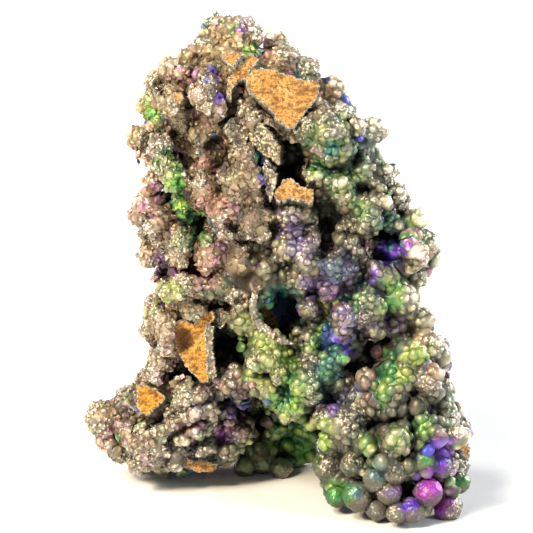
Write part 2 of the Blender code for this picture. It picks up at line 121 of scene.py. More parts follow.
# Stains of the tarnish on the showing side: across, up, radius, film, strength
STAINS = [
    (8.5, 91, 4.5, "green", 0.45), (13.5, 94, 5, "green", 0.4), (14, 88, 4, "green", 0.5),
    (9.2, 82, 2.2, "green", 0.9), (12.7, 79.9, 3, "green", 0.7), (13.2, 87.8, 3, "teal", 0.75),
    (23, 87, 5, "teal", 0.3), (-13, 113, 8, "gold", 0.5), (-4, 111, 6, "gold", 0.5),
    (18.6, 80, 4, "green", 0.42), (16.8, 75.7, 3.4, "green", 0.5), (20, 72, 3, "green", 0.45),
    (28.2, 67.6, 3.6, "teal", 0.6), (34.6, 68.8, 3, "green", 0.5), (-27.7, 84.2, 2.4, "lime", 0.85),
    (-26.5, 78.8, 2.6, "green", 1.0), (-25, 74.5, 2.6, "green", 1.0), (-23.2, 71.2, 3, "green", 1.05),
    (-29.5, 84, 2.6, "green", 0.75), (-28.2, 87.8, 1.8, "teal", 0.8), (-20.9, 65.5, 4, "green", 0.5),
    (-24.4, 64, 4, "green", 0.45), (-27, 38, 4, "pink", 0.3), (-40, 17, 5, "pink", 0.26),
    (-23, 17, 5, "pink", 0.28), (-9, 28, 4, "pink", 0.3), (-14, 62, 5, "pink", 0.26),
    (-33.5, 97.7, 2.4, "lime", 0.95), (-31.6, 95.6, 1.8, "green", 0.9),
    (-30.3, 91.5, 5, "green", 0.35), (-20.1, 87.2, 4, "teal", 0.34), (-29, 101, 5, "gold", 0.42),
    (-25.5, 109, 4.5, "gold", 0.5), (-22, 104, 3, "pink", 0.34), (-9.5, 115, 4, "lime", 0.3),
    (5.3, 107.5, 3, "teal", 0.4), (2, 104.4, 3, "pink", 0.4), (13, 100, 4, "gold", 0.45),
    (-13, 79, 4, "green", 0.26), (-12.5, 71.5, 5, "pink", 0.28), (-36, 66, 4, "pink", 0.3),
    (-31.6, 60, 4, "teal", 0.28), (-24, 57, 4, "gold", 0.34), (-33, 24, 4, "gold", 0.35),
    (-19, 14, 3, "teal", 0.28), (-26.5, 51.5, 3.5, "lime", 0.6), (-32.3, 46.4, 3, "lime", 0.5),
    (-8.7, 43.9, 3.2, "lime", 0.6), (-3, 38.3, 4.2, "lime", 0.85), (-4.3, 31, 5, "lime", 0.6),
    (1, 33, 3.6, "lime", 0.95), (2.8, 27, 4, "green", 0.85), (-1, 23.5, 4, "green", 0.8),
    (-8.5, 55, 6, "lime", 0.22), (2.6, 21, 3.4, "green", 0.9), (1.6, 37.4, 3, "lime", 0.8),
    (5.3, 25, 3.4, "green", 0.8), (1.5, 16, 6, "green", 0.75), (5.3, 10.8, 5, "green", 0.95),
    (9.2, 13.4, 4, "green", 0.85), (10.9, 16.4, 3, "lime", 0.8), (34.6, 35, 3.6, "lime", 0.95),
    (31, 29, 2.6, "lime", 0.9), (28.2, 36.2, 2.8, "green", 0.85), (27.5, 30, 3, "green", 0.95),
    (27, 24.8, 3, "green", 0.75), (36.4, 16.4, 3.4, "green", 0.8), (30, 14, 3, "green", 0.6),
    (22.5, 12.5, 3, "green", 0.7), (37.2, 8.8, 3, "green", 0.9), (14.2, -0.6, 4, "green", 0.95),
    (25, 6, 2.5, "teal", 0.6), (46, 2.2, 2.4, "green", 0.8), (-6, 8.3, 6, "green", 0.4),
    (19, -0.2, 2.4, "teal", 0.7), (28.2, 47.7, 2.4, "green", 0.8), (29.5, 52.3, 2.6, "green", 0.65),
    (27, 61.4, 2.6, "violet", 1.05), (30.4, 61, 2.2, "violet", 1.0), (30, 64.2, 2, "blue", 0.95),
    (33, 63.8, 2.2, "magenta", 0.7), (36.8, 63.4, 3, "copper", 0.75), (24.4, 55, 1.4, "violet", 0.95),
    (16.8, 58, 5, "blue", 0.38), (13, 55.3, 4, "blue", 0.4), (10.4, 51.5, 5, "violet", 0.34),
    (14.2, 50.3, 4, "magenta", 0.32), (19.3, 49, 4, "teal", 0.45), (18.6, 44.4, 4, "violet", 0.4),
    (28.8, 42, 3.4, "magenta", 0.26), (22.5, 52, 3, "teal", 0.5), (11.7, 41.3, 1.6, "lime", 0.95),
    (12.2, 47.7, 1.8, "lime", 0.7), (13, 38.6, 2.6, "blue", 0.85), (17.3, 35.9, 2, "violet", 1.0),
    (15.2, 38, 2, "violet", 0.85), (9.8, 38.6, 3, "green", 0.7), (13.6, 33.6, 3.6, "teal", 0.7),
    (11.7, 28.6, 4, "teal", 0.6), (16.8, 24.8, 3, "blue", 0.5), (14.2, 22.5, 3, "violet", 0.5),
    (10.6, 23, 2.2, "teal", 0.85), (0.3, 47.7, 4.6, "teal", 0.9), (5.3, 64, 5, "violet", 0.3),
    (2.8, 67.3, 4, "violet", 0.34), (-5.3, 86, 1.8, "teal", 0.95), (-4.3, 83, 1.6, "blue", 0.9),
    (-3.4, 79.5, 1.4, "violet", 0.8), (-2.4, 76, 1.4, "magenta", 0.75), (-5.9, 89, 1.6, "green", 0.7),
    (-17.8, 106, 1.5, "violet", 0.95), (-14.8, 101, 1.8, "violet", 0.75),
    (-24.2, 106.7, 2.2, "pink", 0.9), (-31, 78, 3, "magenta", 0.4), (-32.8, 72.5, 4.4, "pink", 0.42),
    (-20.6, 79, 2, "blue", 0.4), (-16.3, 72, 6, "copper", 0.55), (-18.8, 82.5, 5, "copper", 0.5),
    (-20, 58, 6, "copper", 0.45), (-31, 58.7, 4.4, "magenta", 0.4), (-29, 35, 5, "pink", 0.3),
    (-29.3, 30, 3, "pink", 0.35), (-45.5, 18.4, 4, "lime", 0.3), (-43, 14, 4, "pink", 0.35),
    (-36, 8, 4, "pink", 0.32), (-13.5, 14.6, 3, "magenta", 0.6), (-9.9, 16.4, 2.6, "pink", 0.75),
    (-11, 20.5, 3, "violet", 0.5), (-16, 26, 3, "pink", 0.45), (-12, 38, 4, "teal", 0.35),
    (-9, 119, 2.8, "magenta", 0.5), (-12, 118.2, 2.2, "lime", 0.7), (-7.5, 112.8, 2.6, "lime", 0.9),
    (-6, 113.4, 2, "teal", 0.7), (-3, 111.6, 2.4, "copper", 0.7), (37.9, 0.4, 3.6, "magenta", 1.1),
    (33.6, -3.6, 2.6, "violet", 1.0), (42, -4.4, 3, "magenta", 1.05), (41, 6.5, 3.4, "violet", 1.1),
    (40.5, 10.8, 2.6, "violet", 0.9), (43.5, 12.9, 2.4, "magenta", 0.5),
    (29.8, 0.6, 2, "magenta", 0.5), (28.3, -0.6, 2, "violet", 0.35), (22.9, 28.6, 3.4, "copper", 0.3),
    (23.9, 23, 2.4, "copper", 0.25), (12.1, 33.6, 2, "pink", 0.4), (36, 38.6, 2.6, "gold", 0.8),
    (38.7, 30, 2.6, "copper", 0.6), (33, 64, 4, "copper", 0.3),
]

# Crumbly silver caps of the showing side: across, up, radius
SILVER = [
    (18.7, 19.2, 4.6), (37.8, 27.7, 3.7), (17.1, 26.1, 3), (12.9, 7, 3.7), (18.7, 7.5, 2.5),
    (29.8, 6.5, 2.5), (27.5, 10.7, 1.7), (8.7, 24.5, 2), (10.7, 20.5, 1.8), (43.6, 28.7, 3),
    (45.2, 7, 3), (47.8, 17.7, 3), (44.7, -5, 2.6), (29.3, -5.4, 2.2), (44.1, 18.2, 2.6), (8, 33, 2),
    (8.1, 28.7, 2), (33, 75, 2.6), (38.4, 64.2, 3), (37.2, 57.2, 2.6), (7.9, 66.8, 2.4),
    (8.5, 29.9, 2), (30, 73.2, 2.4), (40.3, 38.8, 3), (23.2, 61, 2.4), (31, 88, 3), (27, 93, 3),
    (20, 98, 3), (29, 80, 2.4), (-32.3, 89.5, 3.6), (-24.7, 93.6, 2.4), (-18.9, 101.2, 3.2),
    (-34.6, 67.3, 3.2), (-16, 67.9, 3.2), (-20.6, 78.5, 1.6), (7.4, 107.6, 3), (2, 112, 3),
    (-31, 104, 3), (-12, 48, 3), (-9, 64, 3), (-28, 62, 2.6), (-33, 52, 2.6), (-26, 20.6, 3),
    (-38, 9, 3), (-30, 8.6, 3), (-22, 10, 2.6), (-11, 15, 2.6), (-18, 26.6, 3), (-34, 31, 2.6),
    (21.6, 44, 2.6), (14, 61, 2.4), (17.6, 67.4, 2.6), (3, 5, 2.4),
]

# The left and right edge of the mass as seen, by height: up, left, right
EDGES = [
    (0, -42, 48), (10, -42, 48), (20, -49, 48), (28, -38, 46), (36, -33, 42), (44, -35, 38),
    (50, -32, 36), (60, -36, 38), (70, -38, 36), (80, -32, 31), (90, -39, 24), (100, -36, 18),
    (110, -28, 9), (120, -12, -8),
]

# Places along the edges where no heads grow at random: across, up, radius
PLAIN_EDGES = [
    (-39.2, 92.2, 4), (-38.4, 85.9, 4.5), (-36.6, 81.6, 4), (-37.9, 65.5, 4), (-35.1, 60.2, 3.6),
    (-34.6, 36.8, 3.6), (24.4, 94.3, 4), (28.8, 84.1, 4), (31.6, 79, 4), (38.9, 68.1, 4),
    (36.9, 52.8, 4), (40.2, 41.3, 4), (-24.2, 113.9, 4), (1, 115.9, 4), (15, 104.5, 4),
]

# Places where the skin is soft and has few balls: across, up, radius
SOFT = [(-8.5, 55, 5), (-2, 53.5, 3.5), (8.6, 49, 2.6)]

# Heads that stand out of the mass on the showing side: across, up, radius
HEADS = [
    (-7, 116, 3), (-4, 113.4, 3), (-9.5, 118.4, 2.4), (-15.4, 118.4, 2.4), (-18.8, 113.8, 2.8),
    (-22.6, 110.4, 2.8), (0.5, 110.6, 2.6), (7.5, 12.5, 3), (9, 9.5, 2.6), (4.2, 8.2, 2.2),
    (9.8, 15.2, 2.4), (9.6, 11.2, 2), (-27.5, 108, 2.6), (8, 108, 2.4), (14, 103, 2.6), (-30, 15, 2.3),
    (-27.3, 18.7, 2.3), (-23.2, 19.8, 2.4), (-20.4, 23.3, 2.4), (-25, 14.6, 2.2), (-21, 16.5, 2.3),
    (-17.5, 20.5, 2.3), (-24, 25.5, 2.2), (-19, 11.5, 2.4), (-26, 10.5, 2.3), (-31, 11, 2.3),
    (-34, 15, 2.4), (-10.3, 29.7, 2.8), (-5, 9.3, 3.2), (13, 6.7, 4.1), (18.8, 7.3, 3),
    (29.8, 5.5, 3.1), (27.5, 10.3, 1.9), (34.4, 7.5, 2), (37.2, 8.8, 2.2), (41, 6.5, 2.6),
    (40.5, 10.1, 2.2), (36.4, 16.2, 3.2), (40.2, 14.6, 2), (30, 14.1, 2.6), (17, 17.4, 4.6),
    (34.1, 35, 3.6), (37.7, 28.4, 3.3), (29.3, 26.1, 3.6), (8.5, 24.8, 2.3), (9.9, 20.5, 2.2),
    (7.6, 31.9, 3.6), (12.1, 33, 2.6), (15.8, 34.5, 2.1), (16.5, 27.6, 3.5), (22.9, 28.6, 3),
    (23.9, 23, 2.3), (28, 19.2, 2.6), (44.8, 13.9, 2.5), (46, 6.5, 2.4), (22.4, 13, 2.4),
    (-8.7, 43.9, 3.6), (-3, 38, 4), (27.5, 35, 2.6), (25.5, 62, 2.4), (29, 61.4, 2.2), (33, 63.6, 2.2),
    (37.4, 63.8, 2.8), (34.6, 55, 2.8), (24.5, 47, 3), (29.5, 50.4, 3), (29, 42, 3), (36, 44, 3),
    (38, 38, 2.6), (16.8, 76, 3.6), (23, 72, 3), (29, 68, 2.6), (34.5, 69.4, 2.6), (13, 80, 2.6),
    (16, 88, 3.4), (21, 82, 3), (24, 92, 3), (30, 75, 3), (-23.6, 71.4, 2.8), (-26.6, 78.6, 2),
    (-33, 72.6, 4), (-33.4, 98, 2.6), (-31, 104, 3), (-35.5, 90.5, 3), (-30, 87.5, 3),
    (-24.2, 106.7, 1.8), (-20, 101, 3), (-16.5, 98, 3), (-12, 118, 3), (-17, 115, 3), (-23.4, 93, 2.6),
    (-16.8, 86, 3.6), (-19, 76.8, 4), (-13.5, 71, 4), (-8, 70, 3.6), (-17.5, 62, 4), (-24.6, 63, 3.4),
    (-33, 60, 3), (-10, 58, 4), (-31, 47.5, 3), (-27.5, 50, 2.6), (-33, 41, 2.4), (-30, 33, 3.2),
    (-28.6, 37.5, 2.4), (-24.5, 27.5, 2), (-45, 18.4, 4), (-42, 11.5, 2.6), (-38.6, 15.2, 2.4),
    (-10, 15.4, 3.6), (-13.6, 19.4, 2.4), (-12.4, 11, 2.6), (-9.6, 26, 3.6), (-15.6, 30, 2.6),
    (-3.6, 27, 3),
]

# Cracks and gaps between the heads: the path as seen, the radius and the depth
CRACKS = [
    ([(-9.7, 103.7), (-8.4, 99.9)], 1.0, 4),
    ([(-4.3, 99.1), (0.3, 95.3), (2.8, 89.7), (3.3, 81.6)], 2.2, 4),
    ([(-5.6, 87.2), (-4.3, 81.6), (-2.3, 73.2)], 0.8, 3.5), ([(-24.4, 104.5), (-23.4, 102)], 1.0, 3.5),
    ([(-28.5, 86.5), (-24.2, 85), (-22.4, 80.5)], 1.3, 3),
    ([(19.3, 41.3), (24.4, 36.2), (26.2, 31)], 1.8, 4),
    ([(-29.6, 29.4), (-25.6, 28.4), (-22.4, 30)], 1.8, 4), ([(-15.4, 25.4), (-12, 23)], 1.3, 3),
    ([(-21.2, 73.4), (-19.6, 68.6), (-21.6, 62)], 1.0, 3),
    ([(21, 64), (28, 57.6), (33.6, 58.6)], 1.5, 3.6), ([(24, 66.6), (30, 66)], 1.2, 3),
    ([(10, 70), (14.5, 66.2), (20, 66)], 1.2, 3), ([(-29, 56), (-24, 57)], 1.4, 3),
    ([(4, 15), (8, 20), (12.6, 22)], 1.2, 3), ([(24, 16), (26, 10), (22, 8)], 1.3, 3.5),
    ([(20, 3.4), (26, 2.6), (31.6, 2), (34.4, 4)], 1.2, 3.5),
    ([(33.6, 12), (34, 20), (32.6, 23)], 1.2, 3.5), ([(-21, 49), (-15, 47), (-9.6, 49)], 1.2, 3),
    ([(17.6, 95), (20, 88), (19.4, 84)], 1.2, 3), ([(8.6, 78), (9.2, 70), (7, 66)], 1.3, 3),
    ([(-30.8, 64.6), (-28, 68), (-28.6, 74)], 1.3, 3), ([(-8, 20.5), (-4, 18), (-1, 13)], 3.8, 9),
    ([(-26.5, 91), (-23, 87.7)], 1.8, 4), ([(-22.4, 106.8), (-21.4, 105)], 1.4, 4),
    ([(-20, 93), (-17, 88.6), (-14, 84)], 3.4, 3.4), ([(-30.4, 104), (-29.4, 101.6)], 1.3, 3),
    ([(-25, 79), (-22.8, 76)], 1.4, 3.6), ([(-22, 71), (-19, 67)], 1.5, 4),
    ([(-12.6, 68.4), (-9.4, 64.6)], 1.4, 4), ([(5, 84.4), (12, 82.5), (18, 81)], 1.8, 4),
    ([(20, 77.4), (28, 75.8)], 1.3, 3.6), ([(-33, 70), (-27, 69)], 1.2, 3.4),
    ([(-14, 37.5), (-9, 38)], 2.2, 4), ([(22, 17), (30, 18)], 1.4, 3.6),
    ([(33, -1), (36, 3.6), (40.6, 2.6), (42, -1)], 1.5, 4),
    ([(-33, 16.6), (-26, 20), (-18, 23.6)], 0.8, 2.6),
    ([(-28.6, 13), (-22, 17.4), (-17.6, 19)], 0.8, 2.6),
    ([(-22, 11), (-18, 13.6), (-14, 18.4)], 0.9, 2.8), ([(1.6, 41), (6, 38.4)], 1.4, 3),
]

# Broken faces: a point on each as seen, its tilt back and turn in degrees, and its outline as seen
BROKEN_FACES = {
    "main": ((1.5, 100.5), 32, 6, [
        (-8.8, 105.1), (-6.5, 107.8), (-4.3, 108), (-1, 107.2), (2.5, 106.2), (6, 104.9),
        (9.4, 104.5), (10.2, 103.4), (9.9, 100.9), (7.1, 97.3), (4.3, 93.5), (2.5, 92.6),
        (-0.1, 94.5), (-2, 97.3), (-4.2, 99.6), (-7.4, 101.4),
    ]),
    "upper_left": ((-12.3, 110), 42, -12, [
        (-14.5, 110.8), (-12, 112.1), (-9.2, 111.8), (-11.5, 108.5), (-13, 109),
    ]),
    "upper_right": ((-8.6, 107), 38, 0, [
        (-10.9, 108.3), (-6.9, 111.6), (-5.3, 110.1), (-6.6, 108), (-8.7, 105.5), (-10.9, 104.5),
        (-12, 102.9), (-12.2, 100), (-13.4, 101), (-12.8, 105),
    ]),
    "ledge": ((4.5, 76.6), 34, 0, [
        (-1.3, 76), (1.3, 80), (4.3, 79), (6.1, 77.5), (8.7, 77), (8.4, 73.7), (4.8, 74.4),
        (2.5, 74.7), (-0.5, 73.9),
    ]),
    "cheek": ((-26, 101), 30, -15, [(-28.1, 100.8), (-24.8, 102.2), (-24.3, 99.9), (-27.7, 98.5)]),
    "panel": ((-21.5, 37), 5, -8, [
        (-27.2, 41.9), (-25.7, 43.4), (-23.7, 43.9), (-21.6, 42.6), (-20.1, 44.4), (-18.6, 46.2),
        (-16.5, 45.9), (-16.3, 44.1), (-18.1, 42.6), (-18.8, 40.6), (-18.6, 37.5), (-17.8, 35.8),
        (-18.6, 33.2), (-18.1, 30.7), (-18.1, 28.1), (-19.8, 27.9), (-21.1, 29.6), (-22.6, 30.7),
        (-24.2, 32.7), (-24.9, 34.7), (-26.2, 36.3), (-27.2, 38.8),
    ]),
    "foot": ((-32.5, 23.8), 22, -10, [
        (-36.1, 27.4), (-31.8, 26.6), (-28.8, 24.3), (-29.8, 22.8), (-33.2, 19.6), (-35.1, 20.1),
        (-36.1, 22.8),
    ]),
    "sole": ((-21.6, 7), -5, 0, [
        (-27.7, 9), (-24.7, 9.8), (-21.6, 7.8), (-18.6, 8), (-15.8, 7.3), (-16, 5.7), (-20.1, 5.2),
        (-24.2, 6.7), (-27.2, 7),
    ]),
    "hollow_wall": ((-2.4, 45), -5, 30, [
        (-4.3, 48.4), (-2.6, 47.9), (-0.9, 44.4), (0.4, 41.5), (-1.8, 41.7), (-3.8, 44.2), (-4.9, 46.5),
    ]),
    "right_edge": ((47, 11.6), 0, 35, [
        (45.8, 15.1), (47.1, 13.4), (48.3, 11.3), (48.1, 8), (46.8, 9.5), (45.8, 12.1),
    ]),
}

# How yellow some broken faces are, and the pits in them: across, up, radius and depth
YELLOW = {"panel": 0.6, "foot": 1.0, "main": 0.15}
PITS = {
    "panel": [(-24.2, 38.6, 3.0, 2.2), (-20.6, 35.4, 1.1, 0.9), (-21, 31.8, 1.2, 0.7)],
    "main": [(-1.5, 103.5, 1.2, 0.5), (3.5, 99, 1.6, 0.5), (6.5, 102.4, 1.0, 0.5)],
    "ledge": [(2, 76.6, 1.2, 0.6), (5.6, 75.6, 1.0, 0.5)],
    "foot": [(-33.6, 22.6, 1.2, 0.8), (-31.6, 25, 1.0, 0.4)],
}

# Bare plates of dark crust: a point on each as seen, its tilt back and turn, and its outline
PLATES = {
    "blade_left": ((-10, 92), 22, 24, [
        (-12.5, 94.8), (-7.9, 97.1), (-5.5, 95.3), (-7.9, 90.2), (-8.7, 87.8), (-11.3, 88.4), (-14.2, 93),
    ]),
    "blade_right": ((-4, 90.5), 8, -30, [
        (-7.3, 96.8), (-3.2, 92.5), (-0.3, 87.8), (-0.3, 83.6), (-3.2, 85.5), (-5.5, 87.2), (-7.6, 90.4),
    ]),
    "seam_plate": ((-2.4, 79.5), 6, -12, [
        (-4.1, 84), (-0.5, 80.8), (-0.9, 78.5), (-2, 74), (-3.3, 76.7), (-4.2, 81),
    ]),
    "cheek_plate": ((-19, 98.3), 25, -10, [(-21.4, 101.2), (-17, 98.8), (-17.6, 95.8), (-20.9, 97.6)]),
    "small_plate": ((-20, 78), 10, 15, [(-21.6, 80), (-18.7, 79.4), (-18.9, 76.3), (-21.4, 76.6)]),
    "panel_rim": ((-21.5, 37), 5, -8, [
        (-18.6, 43), (-16.6, 42.2), (-16.9, 38.5), (-16.7, 34.5), (-15.8, 30.2), (-17.1, 28.2), (-18.3, 31),
        (-18.5, 35.5), (-19, 39.5),
    ]),
    "ring_plate": ((-15.3, 44.4), 5, -20, [
        (-17, 46.4), (-15, 47), (-13, 45.6), (-13.4, 43.4), (-15, 42), (-16.8, 42.6),
    ]),
}

# Single balls that stand clear of the rest, on the right foot and in the arch: across, up, radius
CLEAR_BALLS = [
    (20.1, -0.9, 3.7), (14.5, -1.1, 2.6), (28, -0.1, 3), (37.9, 0.1, 3.4), (33.6, -4.5, 3.1),
    (43, -3.9, 3.4), (30, -5.2, 2.6), (13, 6.7, 4.2), (18.8, 7.3, 3), (29.8, 5.5, 3.2), (41, 6.5, 2.8),
    (36.4, 8.2, 2.8), (24.5, 3.5, 3), (46, 2.5, 2.6), (25, -4.5, 2.6), (-8.7, 6.5, 2.8), (-4, 8, 3.2),
    (0.5, 6, 2.8),
]

# The broken shell that stands round the lower left of the round hollow, as seen
HOLLOW_LIP = [
    (-4.6, 52.6), (-6.1, 51), (-6.7, 48.4), (-6.4, 45.9), (-5.5, 43.7), (-4.1, 42), (-2.3, 40.7),
    (-0.4, 39.4), (1.8, 38.3), (4.3, 37.6),
]

# Radius against spacing, depth against radius, and how uneven the balls of each size are
BALL_SHAPES = {"fine": (0.74, 0.3, 1.3), "medium": (0.84, 0.45, 0.7), "coarse": (0.86, 0.48, 0.6)}

PATTERNS = 8  # different shapes of ball of each size

# The regions that balls grow in: how coarse, where, and the spacing against the setting's
BALL_REGIONS = {
    "fine_upper": (0.0, "upper", 1.0),
    "fine_lower": (0.0, "lower", 1.0),
    "fine_back": (0.0, "back", 1.35),
    "medium_front": (0.5, "front", 1.0),
    "medium_back": (0.5, "back", 1.3),
    "coarse_front": (1.0, "front", 1.0),
    "coarse_back": (1.0, "back", 1.25),
}


class Wire:
    """A socket that sums and products can be written with: each adds a Math node."""

    def __init__(self, kit, socket):
        self.kit = kit
        self.socket = socket

    def math(self, operation, *values, clamp=False):
        """The result of one Math node."""
        made = self.kit.tree.nodes.new("ShaderNodeMath")
        made.operation = operation
        made.use_clamp = clamp
        for socket, value in zip(made.inputs, values):
            self.kit.feed(socket, value)
        return Wire(self.kit, made.outputs[0])

    def __add__(self, other):
        return self.math("ADD", self, other)

    def __radd__(self, other):
        return self.math("ADD", other, self)

    def __sub__(self, other):
        return self.math("SUBTRACT", self, other)

    def __rsub__(self, other):
        return self.math("SUBTRACT", other, self)

    def __mul__(self, other):
        return self.math("MULTIPLY", self, other)

    def __rmul__(self, other):
        return self.math("MULTIPLY", other, self)

    def clamped(self):
        """The value, kept from 0 to 1."""
        return self.math("ADD", self, 0.0, clamp=True)

    def band(self, low, high, to_low=0.0, to_high=1.0):
        """Runs smoothly from to_low at low to to_high at high."""
        return self.kit.out(
            "ShaderNodeMapRange", "Result", {"interpolation_type": "SMOOTHSTEP"},
            {"Value": self, "From Min": low, "From Max": high, "To Min": to_low, "To Max": to_high},
        )


class Kit:
    """Fills a node tree: out() adds any node and gives one of its outputs as a Wire."""

    def __init__(self, tree):
        self.tree = tree

    def feed(self, socket, value):
        """Links a Wire to a socket, or sets the socket to a plain value."""
        if isinstance(value, Wire):
            self.tree.links.new(value.socket, socket)
        elif socket.type == "RGBA":
            socket.default_value = (*value[:3], 1)
        else:
            socket.default_value = value

    def node(self, kind, settings=None, sockets=None):
        """A new node: its settings come before its sockets."""
        made = self.tree.nodes.new(kind)
        for key, value in (settings or {}).items():
            if key == "stops":
                set_stops(made.color_ramp, value)
            else:
                setattr(made, key, value)
        for key, value in (sockets or {}).items():
            self.feed(made.inputs[key], value)
        return made

    def out(self, kind, output=0, settings=None, sockets=None):
        """One output of a new node."""
        return Wire(self, self.node(kind, settings, sockets).outputs[output])

    def mix(self, factor, first, second, blend="MIX"):
        """A colour between two colours."""
        made = self.node("ShaderNodeMix", {"data_type": "RGBA", "blend_type": blend})
        for index, value in ((0, factor), (6, first), (7, second)):
            self.feed(made.inputs[index], value)
        return Wire(self, made.outputs[2])

    def ramp(self, factor, stops):
        """A colour along a ramp of stops."""
        return self.out("ShaderNodeValToRGB", "Color", {"stops": stops}, {"Fac": factor})

    def scaled(self, vector, factor):
        """A vector or colour times a number."""
        settings, sockets = {"operation": "SCALE"}, {"Vector": vector, "Scale": factor}
        return self.out("ShaderNodeVectorMath", 0, settings, sockets)

    def bump(self, height, distance):
        """The normal of a surface that a height raises by up to a distance."""
        sockets = {"Strength": 1.0, "Distance": distance, "Height": height}
        return self.out("ShaderNodeBump", "Normal", None, sockets)

    def noise(self, place, scale, detail, roughness=0.5):
        """A smooth random number from place to place."""
        sockets = {"Vector": place, "Scale": scale, "Detail": detail, "Roughness": roughness}
        return self.out("ShaderNodeTexNoise", "Fac", None, sockets)

    def cells(self, place, scale):
        """How far a place is from the middle of its cell."""
        return self.out("ShaderNodeTexVoronoi", "Distance", None, {"Vector": place, "Scale": scale})

    def attribute(self, name):
        """A number that the mesh carries under a name."""
        return self.out("ShaderNodeAttribute", "Fac", {"attribute_name": name})


def set_stops(ramp, stops):
    """Gives a colour ramp its stops, each a place and a colour."""
    while len(ramp.elements) > 1:
        ramp.elements.remove(ramp.elements[-1])
    ramp.elements[0].position = stops[0][0]
    ramp.elements[0].color = (*stops[0][1], 1)
    for place, colour in stops[1:]:
        ramp.elements.new(place).color = (*colour, 1)


def new_material(name):
    """A material's kit, its Principled shader and its Object coordinates."""
    material = bpy.data.materials.new(name)
    material.use_nodes = True
    kit = Kit(material.node_tree)
    shader = material.node_tree.nodes["Principled BSDF"]
    return material, kit, shader, kit.out("ShaderNodeTexCoord", "Object")


def tarnished_skin(name, settings, darkest):
    """Sub-metallic goethite under a film whose thickness sets its colour.

    The film, vivid, light-and-shade and frost attributes say where on the mass each colour lies, how
    strong it is, how much painted light and shade the skin takes and how crumbly.
    """
    material, kit, shader, place = new_material(name)
    broad = kit.noise(place, scale=380, detail=3)
    fine = kit.noise(place, scale=2400, detail=3, roughness=0.65)
    drift = kit.noise(place, scale=95, detail=3, roughness=0.6)
    bead = kit.cells(place, scale=1150).band(0.1, 0.6, 1.0, 0.0)
    tone = kit.attribute("tone")
    vivid = kit.attribute("vivid")
    frost = (kit.attribute("frost") + (broad - 0.5) * 0.9).band(0.35, 0.7)
    # Painted glints on the tops of the beads and painted shade between them, with a fine random grain
    glints_and_grain = (bead - 0.5) * (frost * 0.36 + 0.05) + (fine - 0.5) * (frost * 0.28 + 0.14)
    # How light the bare skin is: its painted light and shade, random patches and the pale silver crust
    lift = (tone * (1 - frost * 0.35) + (broad - 0.5) * 0.22 + glints_and_grain + frost * 0.37).clamped()
    # The bare goethite in lit and shaded copies, from painted shadow to painted highlight; the lightest is
    # also the silver crust
    bare = kit.ramp(lift, [
        (0.0, settings.shadow_colour[:]), (0.42, settings.body_colour[:]),
        (0.74, settings.lit_body_colour[:]), (1.0, settings.silver_and_highlight_colour[:]),
    ])
    tint = kit.ramp(drift + (broad - 0.5) * 0.25, TINTS)
    bare = kit.mix(settings.tinting - frost * 0.3, bare, tint, "MULTIPLY")
    film = kit.attribute("film") + (broad - 0.5) * 0.2 + (fine - 0.5) * 0.06
    # The film's colours, darkened in painted shade down to darkest
    shaded = kit.scaled(kit.ramp(film, FILM_COLOURS), lift.band(0.0, 0.7, darkest, 1.2))
    share = (vivid * broad.band(0.25, 0.65, 0.7, 1.2) * (1 - frost * 0.6)).clamped()
    kit.feed(shader.inputs["Base Color"], kit.mix(share, bare, shaded))
    kit.feed(shader.inputs["Metallic"], fine.band(0.3, 0.7, 0.35, 0.55) + frost * 0.12)
    kit.feed(shader.inputs["Roughness"], fine.band(0.3, 0.75, 0.4, 0.56) - frost * 0.13)
    kit.feed(shader.inputs["Coat Weight"], lift * 0.3 + frost * 0.2)
    shader.inputs["Coat Roughness"].default_value = 0.14
    height = bead * (frost * 0.5 + 0.05) + fine * (frost * 0.3 + 0.12) + broad * 0.4
    kit.feed(shader.inputs["Normal"], kit.bump(height, 0.3 * MM))
    return material


def limonite(settings):
    """Dull yellow-brown limonite, granular and pitted, with a thin silvery crust at its rim."""
    material, kit, shader, place = new_material("limonite_ochre")
    broad = kit.noise(place, scale=240, detail=3)
    grain = kit.noise(place, scale=1700, detail=4, roughness=0.7)
    pits = kit.cells(place, scale=900)
    low = kit.attribute("height").band(0.2, 0.56)
    plain = kit.mix(broad.band(0.4, 0.62), settings.ochre_colour[:], settings.ochre_pale[:])
    warm = kit.mix(kit.attribute("yellow"), plain, settings.ochre_yellow[:])
    turned = kit.out("ShaderNodeMapping", "Vector", None, {
        "Vector": place, "Rotation": (0, math.radians(35), 0), "Scale": (0.45, 1, 1.7)})
    grooves = kit.noise(turned, scale=520, detail=3, roughness=0.6)
    open_grain = grain.band(0.38, 0.53, 0.1, 1.0) * grooves.band(0.38, 0.48, 0.25, 1.0)
    # Painted shade: darker limonite where the face lies low and between its grains and grooves
    deep = kit.mix((low * open_grain).clamped(), settings.ochre_shade[:], warm)
    light = kit.mix(pits.band(0.0, 0.3, 0.4, 0.0), deep, settings.ochre_light[:])
    rim = (kit.attribute("rim") * 1.7 + (grain - 0.5) * 2.2 - 0.5).clamped()
    crust = kit.mix(grain.band(0.35, 0.6), settings.crust_dark[:], settings.crust_pale[:])
    kit.feed(shader.inputs["Base Color"], kit.mix(rim, light, crust))
    kit.feed(shader.inputs["Roughness"], rim * -0.5 + 0.88)
    kit.feed(shader.inputs["Metallic"], rim * 0.6)
    height = grain * 0.8 + pits * 0.7 + grooves * 0.8
    kit.feed(shader.inputs["Normal"], kit.bump(height, 0.7 * MM))
    return material


